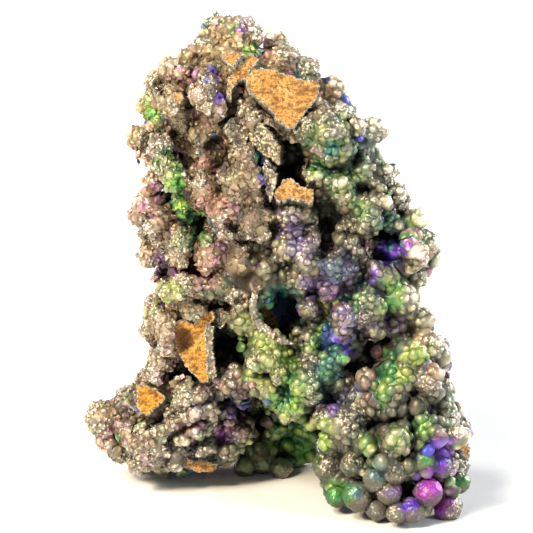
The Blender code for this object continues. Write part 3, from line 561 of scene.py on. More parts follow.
class Showing:
    """The showing side of the mass, read from the eye."""

    def __init__(self, bm):
        self.tree = BVHTree.FromBMesh(bm)
        self.across = Vector((1, 0, 0))
        self.up = Vector((0, math.sin(EYE_RISE), math.cos(EYE_RISE)))
        self.away = Vector((0, math.cos(EYE_RISE), -math.sin(EYE_RISE)))
        aim = self.across * EYE_AIM[0] * MM + self.up * EYE_AIM[1] * MM
        self.eye = ORIGIN + aim - self.away * EYE_DISTANCE

    def line(self, across, up):
        """The direction from the eye to a point across and up."""
        point = ORIGIN + self.across * across * MM + self.up * up * MM
        return (point - self.eye).normalized()

    def find(self, across, up):
        """The point on the skin there, or None off the mass."""
        return self.tree.ray_cast(self.eye, self.line(across, up))[0]

    def find_near(self, across, up):
        """The same for the first point on the skin on the way to the middle of the mass."""
        inward, upward, most_steps = math.copysign(0.4, across), 0.1, 20
        for step in range(most_steps):
            found = self.find(across - inward * step, up + upward * step)
            if found is not None:
                return found
        raise RuntimeError(f"no skin near {across}, {up}")

    def seen(self, points):
        """Across and up, in millimetres, for an array of points."""
        away = points - np.array(self.eye)
        depth = away @ np.array(self.away)
        across = away @ np.array(self.across) * EYE_DISTANCE / depth / MM + EYE_AIM[0]
        up = away @ np.array(self.up) * EYE_DISTANCE / depth / MM + EYE_AIM[1]
        return across, up

    def facing(self, points, normals):
        """How far each point's skin faces the eye, from -1 to 1."""
        towards = np.array(self.eye) - points
        towards /= np.linalg.norm(towards, axis=1)[:, None]
        return (towards * normals).sum(axis=1)


def smooth(low, high, value):
    """Runs from 0 at low to 1 at high."""
    t = np.clip((value - low) / (high - low), 0, 1)
    return t * t * (3 - 2 * t)


def mesh_copy():
    """The CAD mass as one closed skin, in a bmesh."""
    bm = bmesh.new()
    bm.from_mesh(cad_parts[NODE].data)
    bmesh.ops.remove_doubles(bm, verts=bm.verts, dist=0.001 * MM)
    return bm


def object_from(name, bm):
    """An object in the scene that takes a bmesh's mesh."""
    mesh = bpy.data.meshes.new(name)
    bm.to_mesh(mesh)
    bm.free()
    obj = bpy.data.objects.new(name, mesh)
    bpy.context.scene.collection.objects.link(obj)
    return obj


def bake_modifiers(obj):
    """Puts the evaluated mesh in place of the object's own and drops its modifiers."""
    bpy.context.view_layer.update()
    graph = bpy.context.evaluated_depsgraph_get()
    old = obj.data
    obj.data = bpy.data.meshes.new_from_object(obj.evaluated_get(graph))
    obj.data.name = obj.name
    obj.modifiers.clear()
    bpy.data.meshes.remove(old)


def read(mesh, name, width):
    """An attribute of a mesh as an array."""
    data = mesh.attributes[name].data
    values = np.empty(len(data) * width, np.float32)
    data.foreach_get("vector" if width == 3 else "value", values)
    return values.reshape(-1, width).squeeze()


def write(mesh, name, values):
    """A number for each of a mesh's points."""
    attribute = mesh.attributes.get(name) or mesh.attributes.new(name, "FLOAT", "POINT")
    attribute.data.foreach_set("value", np.ascontiguousarray(values, np.float32))


def positions(mesh):
    """The places of a mesh's points as an array."""
    values = np.empty(len(mesh.vertices) * 3, np.float32)
    mesh.vertices.foreach_get("co", values)
    return values.reshape(-1, 3).astype(float)


def directions(mesh):
    """The directions that the skin faces at a mesh's points, as an array."""
    values = np.empty(len(mesh.vertices) * 3, np.float32)
    mesh.vertex_normals.foreach_get("vector", values)
    return values.reshape(-1, 3).astype(float)


def inside(outline, across, up):
    """Which points lie inside an outline as seen."""
    found = np.zeros(len(across), bool)
    for (x1, y1), (x2, y2) in zip(outline, outline[1:] + outline[:1]):
        crosses = (y1 > up) != (y2 > up)
        with np.errstate(divide="ignore", invalid="ignore"):
            at = (x2 - x1) * (up - y1) / (y2 - y1) + x1
        found ^= crosses & (across < at)
    return found


def edge_distance(outline, across, up):
    """How far points lie from the nearest edge of an outline."""
    nearest = np.full(len(across), 1e9)
    for (x1, y1), (x2, y2) in zip(outline, outline[1:] + outline[:1]):
        dx, dy = x2 - x1, y2 - y1
        t = np.clip(((across - x1) * dx + (up - y1) * dy) / (dx * dx + dy * dy), 0, 1)
        nearest = np.minimum(nearest, np.hypot(across - x1 - t * dx, up - y1 - t * dy))
    return nearest


def spots(rows, across, up, inner, outer):
    """How far points as seen lie in any round spot: 1 well inside one, 0 outside them all."""
    share = np.zeros(len(across))
    for x, y, radius in rows:
        share = np.maximum(share, 1 - smooth(inner, outer, np.hypot(across - x, up - y) / radius))
    return share


def in_spots(rows, across, up, reach=1.0):
    """Which points as seen lie in any round spot, to a share of its radius."""
    found = np.zeros(len(across), bool)
    for x, y, radius in rows:
        found |= np.hypot(across - x, up - y) < radius * reach
    return found


def coarseness(points):
    """How large the balls grow: 0 at the fine upper left, 1 at the lower right."""
    x, z = points[:, 0] / MM, points[:, 2] / MM
    return np.clip(0.42 + x / 75 - (z - 50) / 170, 0, 1)


def field(points, size, seed):
    """A smooth random number from 0 to 1 at each point, that changes over a size in metres."""
    shift = Vector((seed * 17.3, seed * 5.1, seed * 9.7))
    return np.array([noise.noise(Vector(p) / size + shift) for p in points]) * 0.5 + 0.5


def tarnish_of(showing, points, normals, chance, height):
    """The film and how vivid it is at some points of the skin.

    Chance makes balls differ. By its height, from 0 to 1, a green film turns lime on crests and
    teal in creases. The stains are the showing side's; the hidden sides have their own.
    """
    across, up = showing.seen(points)
    wander, wander_size = 5, 3.5 * MM
    across = across + (field(points, wander_size, 12) - 0.5) * wander
    up = up + (field(points, wander_size, 13) - 0.5) * wander
    front = smooth(-0.35, 0.1, showing.facing(points, normals))
    patches = field(points, 7 * MM, 6)
    warm = smooth(-45, 50, -across + 0.6 * (up - 60))
    green = chance * 0.3 + patches > warm + 0.12
    film = np.where(green, GREEN_FROM + 0.2 * patches, 0.08 + 0.2 * patches) + (chance - 0.5) * 0.08
    best = np.where(green, 0.12, 0.1 + 0.26 * warm)
    uneven = 0.75 + 0.5 * field(points, 2.6 * MM, 7)
    for x, y, radius, name, strength in STAINS:
        distance = np.hypot(across - x, up - y) / radius * uneven
        weight = strength * (1 - smooth(0.5, 1.5, distance)) * (0.8 + 0.35 * chance)
        better = weight > best
        film = np.where(better, FILM[name] + (chance - 0.5) * 0.12, film)
        best = np.maximum(best, weight)
    turned = np.clip(film + (height - 0.5) * 0.18, GREEN_FROM, GREEN_TO)
    film = np.where(film > GREEN_FROM, turned, film)
    best = best * (1 - 0.4 * smooth(0.55, 0.95, height))
    hidden_film = field(points, 19 * MM, 1) * 1.7 - 0.35 + (chance - 0.5) * 0.12
    hidden_vivid = smooth(0.42, 0.7, field(points, 12 * MM, 2)) * 0.7 + 0.15
    film = np.where(front > 0.5, film, hidden_film)
    vivid = best * front + hidden_vivid * (1 - front)
    return np.clip(film, 0, 1), np.clip(vivid, 0, 1) ** 1.25


def shade_by_height(points):
    """How light the skin is by its height: painted light on knobs that stand out, painted shade in hollows.
    """
    tone = np.empty(len(points))
    for i, point in enumerate(points):
        near, out, _, _ = MADE["smooth_tree"].find_nearest(Vector(point))
        tone[i] = (Vector(point) - near).dot(out) / MM
    return np.clip(0.5 + tone * 0.2, 0, 1)


def silver_of(showing, points, normals, tone):
    """How crumbly and silver the skin is: on the caps that are listed, and on knobs that stand out, which
    are also painted light.
    """
    across, up = showing.seen(points)
    front = smooth(-0.3, 0.1, showing.facing(points, normals))
    silver = spots(SILVER, across, up, 0.6, 1.3)
    fine = 1 - 0.75 * coarseness(points)
    # Knobs that stand out grow crumbly and take painted light through the frost
    painted = smooth(0.5, 0.8, tone) * smooth(0.4, 0.6, field(points, 6 * MM, 21)) * fine
    return np.maximum(silver * front, painted)


def number_of(name, description, default, **kind):
    """A setting that is a number, of a kind where it has one."""
    return bpy.props.FloatProperty(name=name, description=description, default=default, **kind)


def length_of(name, description, size):
    """A setting that is a length; its default is given in millimetres."""
    return number_of(name, description, size * MM, unit="LENGTH")


def colour_of(name, description, default):
    """A setting that is a colour."""
    return bpy.props.FloatVectorProperty(
        name=name, description=description, default=default, subtype="COLOR"
    )


class MassSettings(bpy.types.PropertyGroup):
    """Sizes and colours of the mass."""

    voxel: length_of("Grain of the skin", "Size of the rough mass's faces", 0.95)
    sunk: length_of("Gap depth", "How deep the gaps between heads go", 3.4)
    head_spacing: length_of("Head spacing", "Least gap between heads' middles", 5.2)
    head_radius: length_of("Head radius", "Mean radius of a head", 3.1)
    roughness: length_of("Unevenness", "Height of the unevenness between the balls", 0.45)
    # The bare goethite lit and shaded: painted shadow in hollows, the body, painted light on the upper sides
    # of balls, and painted highlight on knobs, which is also the silver crust's colour
    shadow_colour: colour_of("Hollows", "Bare goethite in the hollows", (0.03, 0.025, 0.019))
    body_colour: colour_of("Body", "Bare goethite", (0.12, 0.108, 0.085))
    lit_body_colour: colour_of("Pale body", "Bare goethite on the upper sides of balls", (0.33, 0.295, 0.235))
    silver_and_highlight_colour: colour_of("Knobs", "Goethite that is rubbed light", (0.86, 0.82, 0.73))
    tinting: number_of("Tinting", "How much the bare goethite's hue drifts", 0.9, subtype="FACTOR")


class BallSettings(bpy.types.PropertyGroup):
    """Sizes of the balls."""

    fine: length_of("Fine spacing", "Least gap between fine balls' middles", 1.28)
    medium: length_of("Medium spacing", "Least gap between medium balls' middles", 1.7)
    coarse: length_of("Coarse spacing", "Least gap between coarse balls' middles", 2.2)
    seed: bpy.props.IntProperty(name="Seed", description="Seed of the scatter", default=5)


class FaceSettings(bpy.types.PropertyGroup):
    """Sizes and colours of the broken faces."""

    step: length_of("Grain", "Size of the broken faces' mesh", 0.24)
    depth: length_of("Depth", "How far a broken face's block reaches into the mass", 3)
    ochre_colour: colour_of("Ochre", "Limonite", (0.58, 0.30, 0.085))
    ochre_pale: colour_of("Pale ochre", "Paler limonite", (0.70, 0.41, 0.15))
    ochre_yellow: colour_of("Yellow ochre", "Yellower limonite of the left side", (0.78, 0.36, 0.03))
    # Painted shade in the pits and grooves of the limonite
    ochre_shade: colour_of("Deep ochre", "Limonite in the pits", (0.20, 0.085, 0.022))
    ochre_light: colour_of("Light grains", "Loose grains of limonite", (0.84, 0.56, 0.24))
    crust_dark: colour_of("Dark crust", "Hollows in the crust at a face's rim", (0.10, 0.085, 0.065))
    crust_pale: colour_of("Pale crust", "The crust at a face's rim", (0.62, 0.58, 0.50))


class StageSettings(bpy.types.PropertyGroup):
    """Floor, light and world."""

    floor_colour: colour_of("Floor", "Colour of the floor", (0.86, 0.86, 0.86))
    world_colour: colour_of("World", "Colour of the soft light from all round", (0.22, 0.24, 0.27))
    key_power: number_of("Key light", "Strength of the main light", 2.3)
    side_power: number_of("Side light", "Strength of the light from the right", 1.5)
    rim_power: number_of("Rim light", "Strength of the light from behind and above", 3.2)
    spot_power: number_of("Warm spot", "Power of the small light near the top left", 2.8, unit="POWER")


MADE = {}  # what one operator leaves for the next


class GOETHITE_OT_mass(bpy.types.Operator):
    """Makes the rough mass that the balls grow on"""

    bl_idname = "goethite.mass"
    bl_label = "Rough mass"

    def execute(self, context):
        settings = context.scene.goethite_mass
        MADE["showing"] = Showing(mesh_copy())
        mass = object_from("rough_mass", mesh_copy())
        reskin(mass, FIRST_VOXEL, 5)
        mark_heads(mass.data)
        ball = dome("head_pattern", bumps=0.1, seed=3, whole=True)
        MADE["tree"] = scatter_tree("grow_balls")
        heads = scatter("heads", mass, [ball], {
            "Spacing": settings.head_spacing, "Radius": settings.head_radius,
            "Sink": settings.head_radius * 0.9, "Where": "heads", "Seed": 4, "Uneven": 0.7,
        })
        sink(mass.data, settings.sunk)
        join(mass, [heads, seen_heads(ball)])
        bpy.data.objects.remove(ball)
        reskin(mass, settings.voxel, 1)
        crack(mass.data)
        MADE["smooth_tree"] = smoothed_tree(mass)
        roughen(mass, settings.roughness)
        mass.data.shade_smooth()
        mark_mass(mass)
        mass.data.materials.clear()
        # The skin between the balls is a shaded copy of the balls' skin: its film darkens further in painted
        # shade
        mass.data.materials.append(tarnished_skin("goethite_between_balls", settings, darkest=0.2))
        MADE["skin"] = tarnished_skin("goethite_balls", settings, darkest=0.35)
        finish(mass)
        MADE["mass"] = mass
        return {"FINISHED"}


def reskin(piece, voxel, smoothings):
    """One closed skin round everything in the piece."""
    remesh = piece.modifiers.new("skin", "REMESH")
    remesh.mode = "VOXEL"
    remesh.voxel_size = voxel
    soften = piece.modifiers.new("soften", "SMOOTH")
    soften.factor = 0.5
    soften.iterations = smoothings
    bake_modifiers(piece)


def place_points(mesh, points):
    """Moves a mesh's points to places in an array."""
    mesh.vertices.foreach_set("co", points.astype(np.float32).ravel())
    mesh.update()


def sink(mesh, depth):
    """Draws the skin in between the heads, less where it turns from the eye and at the top."""
    points, normals = positions(mesh), directions(mesh)
    facing = MADE["showing"].facing(points, normals)
    edge = np.maximum(smooth(0.45, 0.1, np.abs(facing)), smooth(*TOP_BAND, points[:, 2]))
    deep = depth * (1 - 0.6 * edge)
    place_points(mesh, points - normals * deep[:, None])


def join(piece, others):
    """Puts the meshes of other objects into the piece, and takes the objects away."""
    bm = bmesh.new()
    for obj in (piece, *others):
        bm.from_mesh(obj.data)
    bm.to_mesh(piece.data)
    bm.free()
    for obj in others:
        bpy.data.objects.remove(obj)


def on_broken_face(across, up, margin):
    """Which points as seen lie on a broken face, or within a margin of one."""
    found = np.zeros(len(across), bool)
    for _, _, _, outline in (*BROKEN_FACES.values(), *PLATES.values()):
        found |= inside(outline, across, up) | (edge_distance(outline, across, up) < margin)
    return found


def mark_heads(mesh):
    """Says where heads may grow at random: not on the foot, nor where the showing side has its own."""
    showing = MADE["showing"]
    points, normals = positions(mesh), directions(mesh)
    across, up = showing.seen(points)
    front = (showing.facing(points, normals) > 0) & (points[:, 1] < HEADS_REACH)
    taken = on_broken_face(across, up, 1.0) | in_spots(HEADS + CLEAR_BALLS, across, up, 0.9)
    plain = in_spots(PLAIN_EDGES, across, up)
    write(mesh, "heads", ~(taken & front | plain) & (points[:, 2] > 3 * MM))


def seen_heads(pattern):
    """The heads of the showing side as one object."""
    showing = MADE["showing"]
    bm = bmesh.new()
    for across, up, radius in HEADS:
        hit = showing.find_near(across, up)
        made = pattern.data.copy()
        place = Matrix.Translation(hit + showing.line(across, up) * radius * MM * 0.8)
        made.transform(place @ Matrix.Scale(radius * MM, 4))
        bm.from_mesh(made)
        bpy.data.meshes.remove(made)
    return object_from("seen_heads", bm)


def crack(mesh):
    """Opens the cracks of the showing side."""
    showing = MADE["showing"]
    points, normals = positions(mesh), directions(mesh)
    across, up = showing.seen(points)
    front = smooth(-0.2, 0.3, showing.facing(points, normals)) * (points[:, 1] < MARKS_REACH)
    deep = np.zeros(len(points))
    for path, radius, depth in CRACKS:
        nearest = edge_distance(path + path[-2:0:-1], across, up)
        deep = np.maximum(deep, depth * (1 - smooth(0.3, 1.4, nearest / radius)))
    points += np.array(showing.away) * (deep * front * MM)[:, None]
    place_points(mesh, points)


def smoothed_tree(mass):
    """The mass with its knobs smoothed away."""
    copy = bpy.data.objects.new("smoothed", mass.data.copy())
    bpy.context.scene.collection.objects.link(copy)
    soften = copy.modifiers.new("soften", "SMOOTH")
    soften.factor = 1.0
    soften.iterations = 60
    bake_modifiers(copy)
    bm = bmesh.new()
    bm.from_mesh(copy.data)
    tree = BVHTree.FromBMesh(bm)
    bm.free()
    bpy.data.objects.remove(copy)
    return tree


def roughen(mass, height):
    """Moves the skin in and out, except on the plane that the feet stand on."""
    mesh = mass.data
    points, normals = positions(mesh), directions(mesh)
    above = smooth(0.2 * MM, 1.5 * MM, points[:, 2])
    waves = field(points, 2.2 * MM, 3) - 0.5 + (field(points, 0.9 * MM, 4) - 0.5) * 0.5
    points += normals * (waves * 2 * height * above)[:, None]
    points[:, 2] = np.maximum(points[:, 2], 0)
    place_points(mesh, points)


def mark_mass(mass):
    """Writes the attributes that place the balls and colour the skin between them."""
    mesh, showing = mass.data, MADE["showing"]
    points, normals = positions(mesh), directions(mesh)
    across, up = showing.seen(points)
    near = points[:, 1] < MARKS_REACH
    front = showing.facing(points, normals) > -0.1
    chance = field(points, 1.4 * MM, 5)
    tone = shade_by_height(points)
    film, vivid = tarnish_of(showing, points, normals, chance, tone)
    shade_beside_clear_balls = spots(CLEAR_BALLS, across, up, 0.9, 1.5)
    behind = in_spots(CLEAR_BALLS, across, up) & (points[:, 1] < CLEAR_BALLS_REACH)
    bare = (on_broken_face(across, up, 0.35) & near | behind) & front
    soft = spots(SOFT, across, up, 0.7, 1.2) * (front & near)
    write(mesh, "film", film)
    write(mesh, "vivid", vivid)
    # Painted shade: the skin between the balls is darker as a whole, and darker still beside the clear balls
    write(mesh, "tone", tone * (0.7 - 0.5 * shade_beside_clear_balls))
    write(mesh, "frost", silver_of(showing, points, normals, tone))
    coarse = coarseness(points)
    back = smooth(*BACK_BAND, points[:, 1])
    upper = smooth(*UPPER_BAND, points[:, 2])
    for name, (centre, place, _) in BALL_REGIONS.items():
        share = np.clip(1 - np.abs(coarse - centre) / 0.5, 0, 1)
        grown = smooth(0.3, 0.7, share) * (~bare) * (points[:, 2] > (0.9 + centre * 1.2) * MM)
        grown *= 1 - soft * 0.85
        where = {
            "front": 1 - back, "back": back, "upper": (1 - back) * upper, "lower": (1 - back) * (1 - upper),
        }[place]
        write(mesh, name, grown * where)


def dome(name, bumps, seed, waves=1.3, whole=False):
    """A ball, mostly with its hidden lower side cut off flat: the pattern that a scatter repeats."""
    bm = bmesh.new()
    bmesh.ops.create_icosphere(bm, subdivisions=3 if whole else 2, radius=1)
    for vert in bm.verts:
        vert.co *= 1 + bumps * noise.noise(vert.co * waves + Vector((seed * 7, seed, 0)))
    if whole:
        return object_from(name, bm)
    cut = bmesh.ops.bisect_plane(
        bm, geom=bm.verts[:] + bm.edges[:] + bm.faces[:], plane_co=(0, 0, -0.12), plane_no=(0, 0, -1),
        clear_outer=True,
    )
    rim = [g for g in cut["geom_cut"] if isinstance(g, bmesh.types.BMEdge)]
    bmesh.ops.holes_fill(bm, edges=rim, sides=0)
    bmesh.ops.remove_doubles(bm, verts=bm.verts, dist=0.12)
    bmesh.ops.recalc_face_normals(bm, faces=bm.faces)
    return object_from(name, bm)


def scatter_tree(name):
    """Geometry nodes that grow balls on a skin, where one of its attributes says."""
    tree = bpy.data.node_groups.new(name, "GeometryNodeTree")
    for label, kind in (
        ("Skin", "NodeSocketGeometry"), ("Patterns", "NodeSocketCollection"), ("Spacing", "NodeSocketFloat"),
        ("Radius", "NodeSocketFloat"), ("Sink", "NodeSocketFloat"), ("Where", "NodeSocketString"),
        ("Seed", "NodeSocketInt"), ("Uneven", "NodeSocketFloat"), ("Round", "NodeSocketBool"),
        ("Finish", "NodeSocketMaterial"),
    ):
        tree.interface.new_socket(label, in_out="INPUT", socket_type=kind)
    tree.interface.new_socket("Balls", in_out="OUTPUT", socket_type="NodeSocketGeometry")
    kit = Kit(tree)
    given = {s.name: Wire(kit, s) for s in kit.node("NodeGroupInput").outputs if s.name}
    where = kit.out(
        "GeometryNodeInputNamedAttribute", "Attribute", {"data_type": "FLOAT"}, {"Name": given["Where"]}
    )
    spread = kit.node(
        "GeometryNodeDistributePointsOnFaces", {"distribute_method": "POISSON"},
        {"Mesh": given["Skin"], "Distance Min": given["Spacing"], "Density Max": 3e6,
         "Density Factor": where, "Seed": given["Seed"]},
    )
    out = Wire(kit, spread.outputs["Normal"])
    chance = random_number(kit, 0.0, 1.0, 11)
    points = Wire(kit, spread.outputs["Points"])
    for label, kind, value in (
        ("seat", "FLOAT_VECTOR", kit.out("GeometryNodeInputPosition")), ("facing", "FLOAT_VECTOR", out),
        ("chance", "FLOAT", chance),
    ):
        points = kit.out("GeometryNodeStoreNamedAttribute", "Geometry", {"data_type": kind},
                         {"Geometry": points, "Name": label, "Value": value})
    depth = given["Sink"] * (random_number(kit, -0.5, 0.5, 17) * given["Uneven"] - 1)
    points = kit.out(
        "GeometryNodeSetPosition", "Geometry", None, {"Geometry": points, "Offset": kit.scaled(out, depth)}
    )
    patterns = kit.out("GeometryNodeCollectionInfo", 0, None, {
        "Collection": given["Patterns"], "Separate Children": True, "Reset Children": True})
    spun = kit.out("FunctionNodeRotateRotation", 0, {"rotation_space": "LOCAL"}, {
        "Rotation": Wire(kit, spread.outputs["Rotation"]),
        "Rotate By": kit.out("FunctionNodeAxisAngleToRotation", 0, None,
                             {"Axis": (0, 0, 1), "Angle": random_number(kit, 0.0, math.tau, 12)}),
    })
    luck = random_number(kit, 0.0, 1.0, 13)
    size = given["Radius"] * (0.86 + given["Uneven"] * (luck * luck * luck * 0.7 - 0.12))
    placed = kit.out("GeometryNodeInstanceOnPoints", "Instances", None, {
        "Points": points, "Instance": patterns, "Pick Instance": True,
        "Instance Index": random_number(kit, 0, PATTERNS - 1, 14, "INT"),
        "Rotation": spun, "Scale": kit.out("ShaderNodeCombineXYZ", 0, None, {
            axis: size * random_number(kit, low, high, seed)
            for axis, low, high, seed in (("X", 0.85, 1.2, 18), ("Y", 0.8, 1.15, 15), ("Z", 0.75, 1.15, 16))
        }),
    })
    real = kit.out("GeometryNodeRealizeInstances", 0, None, {"Geometry": placed})
    smooth_shaded = kit.out("GeometryNodeSetShadeSmooth", 0, None,
                            {"Geometry": real, "Shade Smooth": given["Round"]})
    finished = kit.out("GeometryNodeSetMaterial", 0, None,
                       {"Geometry": smooth_shaded, "Material": given["Finish"]})
    kit.node("NodeGroupOutput", None, {"Balls": finished})
    return tree


def random_number(kit, low, high, seed, kind="FLOAT"):
    """A random number for each point, from low to high."""
    made = kit.node("FunctionNodeRandomValue", {"data_type": kind})
    names = {"FLOAT": (2, 3, 1), "INT": (4, 5, 2)}[kind]
    made.inputs[names[0]].default_value = low
    made.inputs[names[1]].default_value = high
    made.inputs["Seed"].default_value = seed
    return Wire(kit, made.outputs[names[2]])


def scatter(name, skin, patterns, values):
    """Patterns scattered over a skin, as one plain mesh."""
    piece = bpy.data.objects.new(name, skin.data.copy())
    bpy.context.scene.collection.objects.link(piece)
    palette = bpy.data.collections.new(name + "_patterns")
    for pattern in patterns:
        palette.objects.link(pattern)
    modifier = piece.modifiers.new("balls", "NODES")
    modifier.node_group = MADE["tree"]
    values = {"Patterns": palette, **values}
    for item in MADE["tree"].interface.items_tree:
        if item.in_out == "INPUT" and item.name in values:
            modifier[item.identifier] = values[item.name]
    bake_modifiers(piece)
    bpy.data.collections.remove(palette)
    return piece


def keep_in_box(mesh):
    """Draws in what stands too far out of the CAD box, and all that is below it."""
    points = positions(mesh)
    low, high = (np.array(corner) for corner in CAD_BOX)
    proud = (high - low) * PROUD_SHARE
    place_points(mesh, np.clip(points, np.append((low - proud)[:2], low[2]), high + proud))


def finish(piece):
    """Keeps a piece in the CAD box, puts it under the root body and hides the CAD mass that it stands for.
    """
    keep_in_box(piece.data)
    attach(piece, "root")
    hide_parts(NODE)


def painted_dimness(showing, points):
    """How much painted shade the skin takes by its place: lightest at the top, the left foot and both edges.
    """
    across, up = showing.seen(points)
    heights, lefts, rights = zip(*EDGES)
    left, right = np.interp(up, heights, lefts), np.interp(up, heights, rights)
    left_edge = smooth(left + 8, left + 1, across)
    right_edge = 2 * smooth(right - 9, right - 2, across)
    left_foot = smooth(-10, -22, across) * smooth(36, 28, up)
    top = 1.3 * smooth(104, 114, up)
    light = np.maximum.reduce([left_edge, right_edge, left_foot, top])
    middle = smooth(0, 12, across) * smooth(34, 42, up) * smooth(76, 68, up)
    coarse = coarseness(points)
    fine_part, coarse_part = smooth(0.5, 0.2, coarse), smooth(0.38, 0.5, coarse)
    return 0.29 + 0.05 * middle + 0.05 * fine_part + 0.06 * coarse_part - 0.16 * light


def colour_balls(mesh):
    """Gives a ball the film of its seat, and paints shade on it, from its top down to the crease round it.
    """
    showing = MADE["showing"]
    seats, facing, chance = read(mesh, "seat", 3), read(mesh, "facing", 3), read(mesh, "chance", 1)
    _, first, which = np.unique(seats.round(7), axis=0, return_index=True, return_inverse=True)
    which = which.ravel()
    seat, out, luck = seats[first].astype(float), facing[first].astype(float), chance[first]
    head_seat = shade_by_height(seat)
    head = head_seat[which]
    points = positions(mesh)
    rise = ((points - seats) * facing).sum(axis=1)
    highest = np.full(len(first), 1e-9)
    np.maximum.at(highest, which, rise)
    height = np.clip(rise / highest[which], -0.5, 1)
    film, _ = tarnish_of(showing, seat, out, luck, head_seat)
    _, vivid = tarnish_of(showing, points, facing, chance, head * 0.6 + height * 0.4)
    silver = silver_of(showing, seat, out, head_seat)
    write(mesh, "film", film[which] + height * 0.03)
    write(mesh, "vivid", vivid)
    write(mesh, "frost", silver[which])
    painted_dim = painted_dimness(showing, seat)[which]
    # Painted light and shade: lighter on the ball's top and on heads that stand out, darker in creases and
    # by place, with some random spread
    write(mesh, "tone", np.clip(head * 0.9 - painted_dim + height * 0.36 + (chance - 0.5) * 0.2, 0, 1))
    for name in ("seat", "facing"):
        mesh.attributes.remove(mesh.attributes[name])


class GOETHITE_OT_balls(bpy.types.Operator):
    """Grows the fine, medium and coarse balls over the mass"""

    bl_idname = "goethite.balls"
    bl_label = "Balls"

    def execute(self, context):
        settings = context.scene.goethite_balls
        patterns = {
            "fine": [dome(f"crumb_pattern_{i}", 0.65, i, waves=2.0) for i in range(PATTERNS)],
            "medium": [dome(f"small_ball_pattern_{i}", 0.4, i, waves=1.6) for i in range(PATTERNS)],
            "coarse": [dome(f"ball_pattern_{i}", 0.28, i, waves=1.3) for i in range(PATTERNS)],
        }
        for index, (name, (_, _, wider)) in enumerate(BALL_REGIONS.items()):
            size = name.split("_")[0]
            spacing = getattr(settings, size) * wider
            swell, sink, uneven = BALL_SHAPES[size]
            radius = spacing * swell
            balls = scatter(name + "_balls", MADE["mass"], patterns[size], {
                "Spacing": spacing, "Radius": radius, "Sink": radius * sink, "Where": name, "Uneven": uneven,
                "Seed": settings.seed + index, "Round": size != "fine", "Finish": MADE["skin"],
            })
            colour_balls(balls.data)
            finish(balls)
        for pattern in sum(patterns.values(), []):
            bpy.data.objects.remove(pattern)
        return {"FINISHED"}


def ball_place(showing, across, up, radius):
    """The middle of a ball that is seen across and up, on the mass or else on the floor before it."""
    line = showing.line(across, up)
    found = showing.find(across, up)
    lowest = radius * 0.7
    floor = showing.eye + line * ((lowest - showing.eye.z) / line.z)
    if found is None:
        return floor
    centre = found + line * radius * 0.9
    return floor if centre.z < lowest else centre


def add_clear_ball(bm, index, radius, centre):
    """One ball with small round bumps, uneven as a whole, added to a bmesh; radius in millimetres."""
    bump_size, bump_height, swell_size, swell_height = 0.85, 0.32, 2.6, 0.4
    divisions = 5 if radius > 2.9 else 4
    made = bmesh.ops.create_icosphere(bm, subdivisions=divisions, radius=radius * MM)
    for vert in made["verts"]:
        spot = vert.co / MM + Vector((index * 31.1, 0, 0))
        bump = 1 - min(1, noise.voronoi(spot / bump_size)[0][0] * 1.25)
        vert.co *= 1 + (bump_height * bump + swell_height * noise.noise(spot / swell_size)) / radius
        vert.co += centre


class GOETHITE_OT_clear_balls(bpy.types.Operator):
    """Makes the single large balls of the right foot and the arch"""

    bl_idname = "goethite.clear_balls"
    bl_label = "Clear balls"

    def execute(self, context):
        showing = MADE["showing"]
        bm = bmesh.new()
        for index, (across, up, radius) in enumerate(CLEAR_BALLS):
            add_clear_ball(bm, index, radius, ball_place(showing, across, up, radius * MM))
        balls = object_from("clear_balls", bm)
        mesh = balls.data
        mesh.shade_smooth()
        points, normals = positions(mesh), directions(mesh)
        points[:, 2] = np.maximum(points[:, 2], 0)
        place_points(mesh, points)
        chance, middling = field(points, 2.5 * MM, 8), np.full(len(points), 0.5)
        film, vivid = tarnish_of(showing, points, normals, chance, middling)
        silver = silver_of(showing, points, normals, middling + 0.05)
        write(mesh, "film", film)
        write(mesh, "vivid", vivid * smooth(-0.8, 0.2, normals[:, 2] - 0.3 * normals[:, 0]))
        # Painted light on the tops of the balls and painted shade underneath; darker too where the film is
        # vivid
        write(mesh, "tone", np.clip(0.46 + normals[:, 2] * 0.2 - vivid * 0.2, 0, 1))
        write(mesh, "frost", np.maximum(silver, 0.38 + 0.14 * field(points, 1.5 * MM, 22)))
        mesh.materials.append(MADE["skin"])
        finish(balls)
        return {"FINISHED"}


def face_frame(showing, place, tilt, turn):
    """The matrix of a broken face: its local X and Y lie in the face and Z points out of it."""
    hit = showing.find_near(*place)
    turned = Matrix.Rotation(math.radians(turn), 4, "Z") @ Matrix.Rotation(math.radians(90 - tilt), 4, "X")
    return Matrix.Translation(hit) @ turned


def local_outline(showing, matrix, outline):
    """An outline as seen, laid on the face's plane, in its own X and Y."""
    origin, out = matrix.translation, matrix.to_3x3() @ Vector((0, 0, 1))
    back = matrix.inverted()
    laid = []
    for across, up in outline:
        line = showing.line(across, up)
        hit = intersect_line_plane(showing.eye, showing.eye + line, origin, out)
        flat = back @ hit
        laid.append((flat.x / MM, flat.y / MM))
    return laid


def ragged(outline, step=0.4, depth=0.5):
    """The outline with its edges broken unevenly."""
    points = []
    for (x1, y1), (x2, y2) in zip(outline, outline[1:] + outline[:1]):
        length = math.hypot(x2 - x1, y2 - y1)
        for i in range(max(1, round(length / step))):
            t = i * step / length
            x, y = x1 + (x2 - x1) * t, y1 + (y2 - y1) * t
            wave = noise.fractal(Vector((x * 0.9, y * 0.9, 3)), 0.7, 2.2, 3)
            across = noise.fractal(Vector((x * 0.9, y * 0.9, 9)), 0.7, 2.2, 3)
            points.append((x + wave * depth, y + across * depth))
    return points


def paint(vert, layers, **values):
    """Gives a point of a bmesh its numbers, by the names of their layers."""
    for name, value in values.items():
        vert[layers[name]] = value


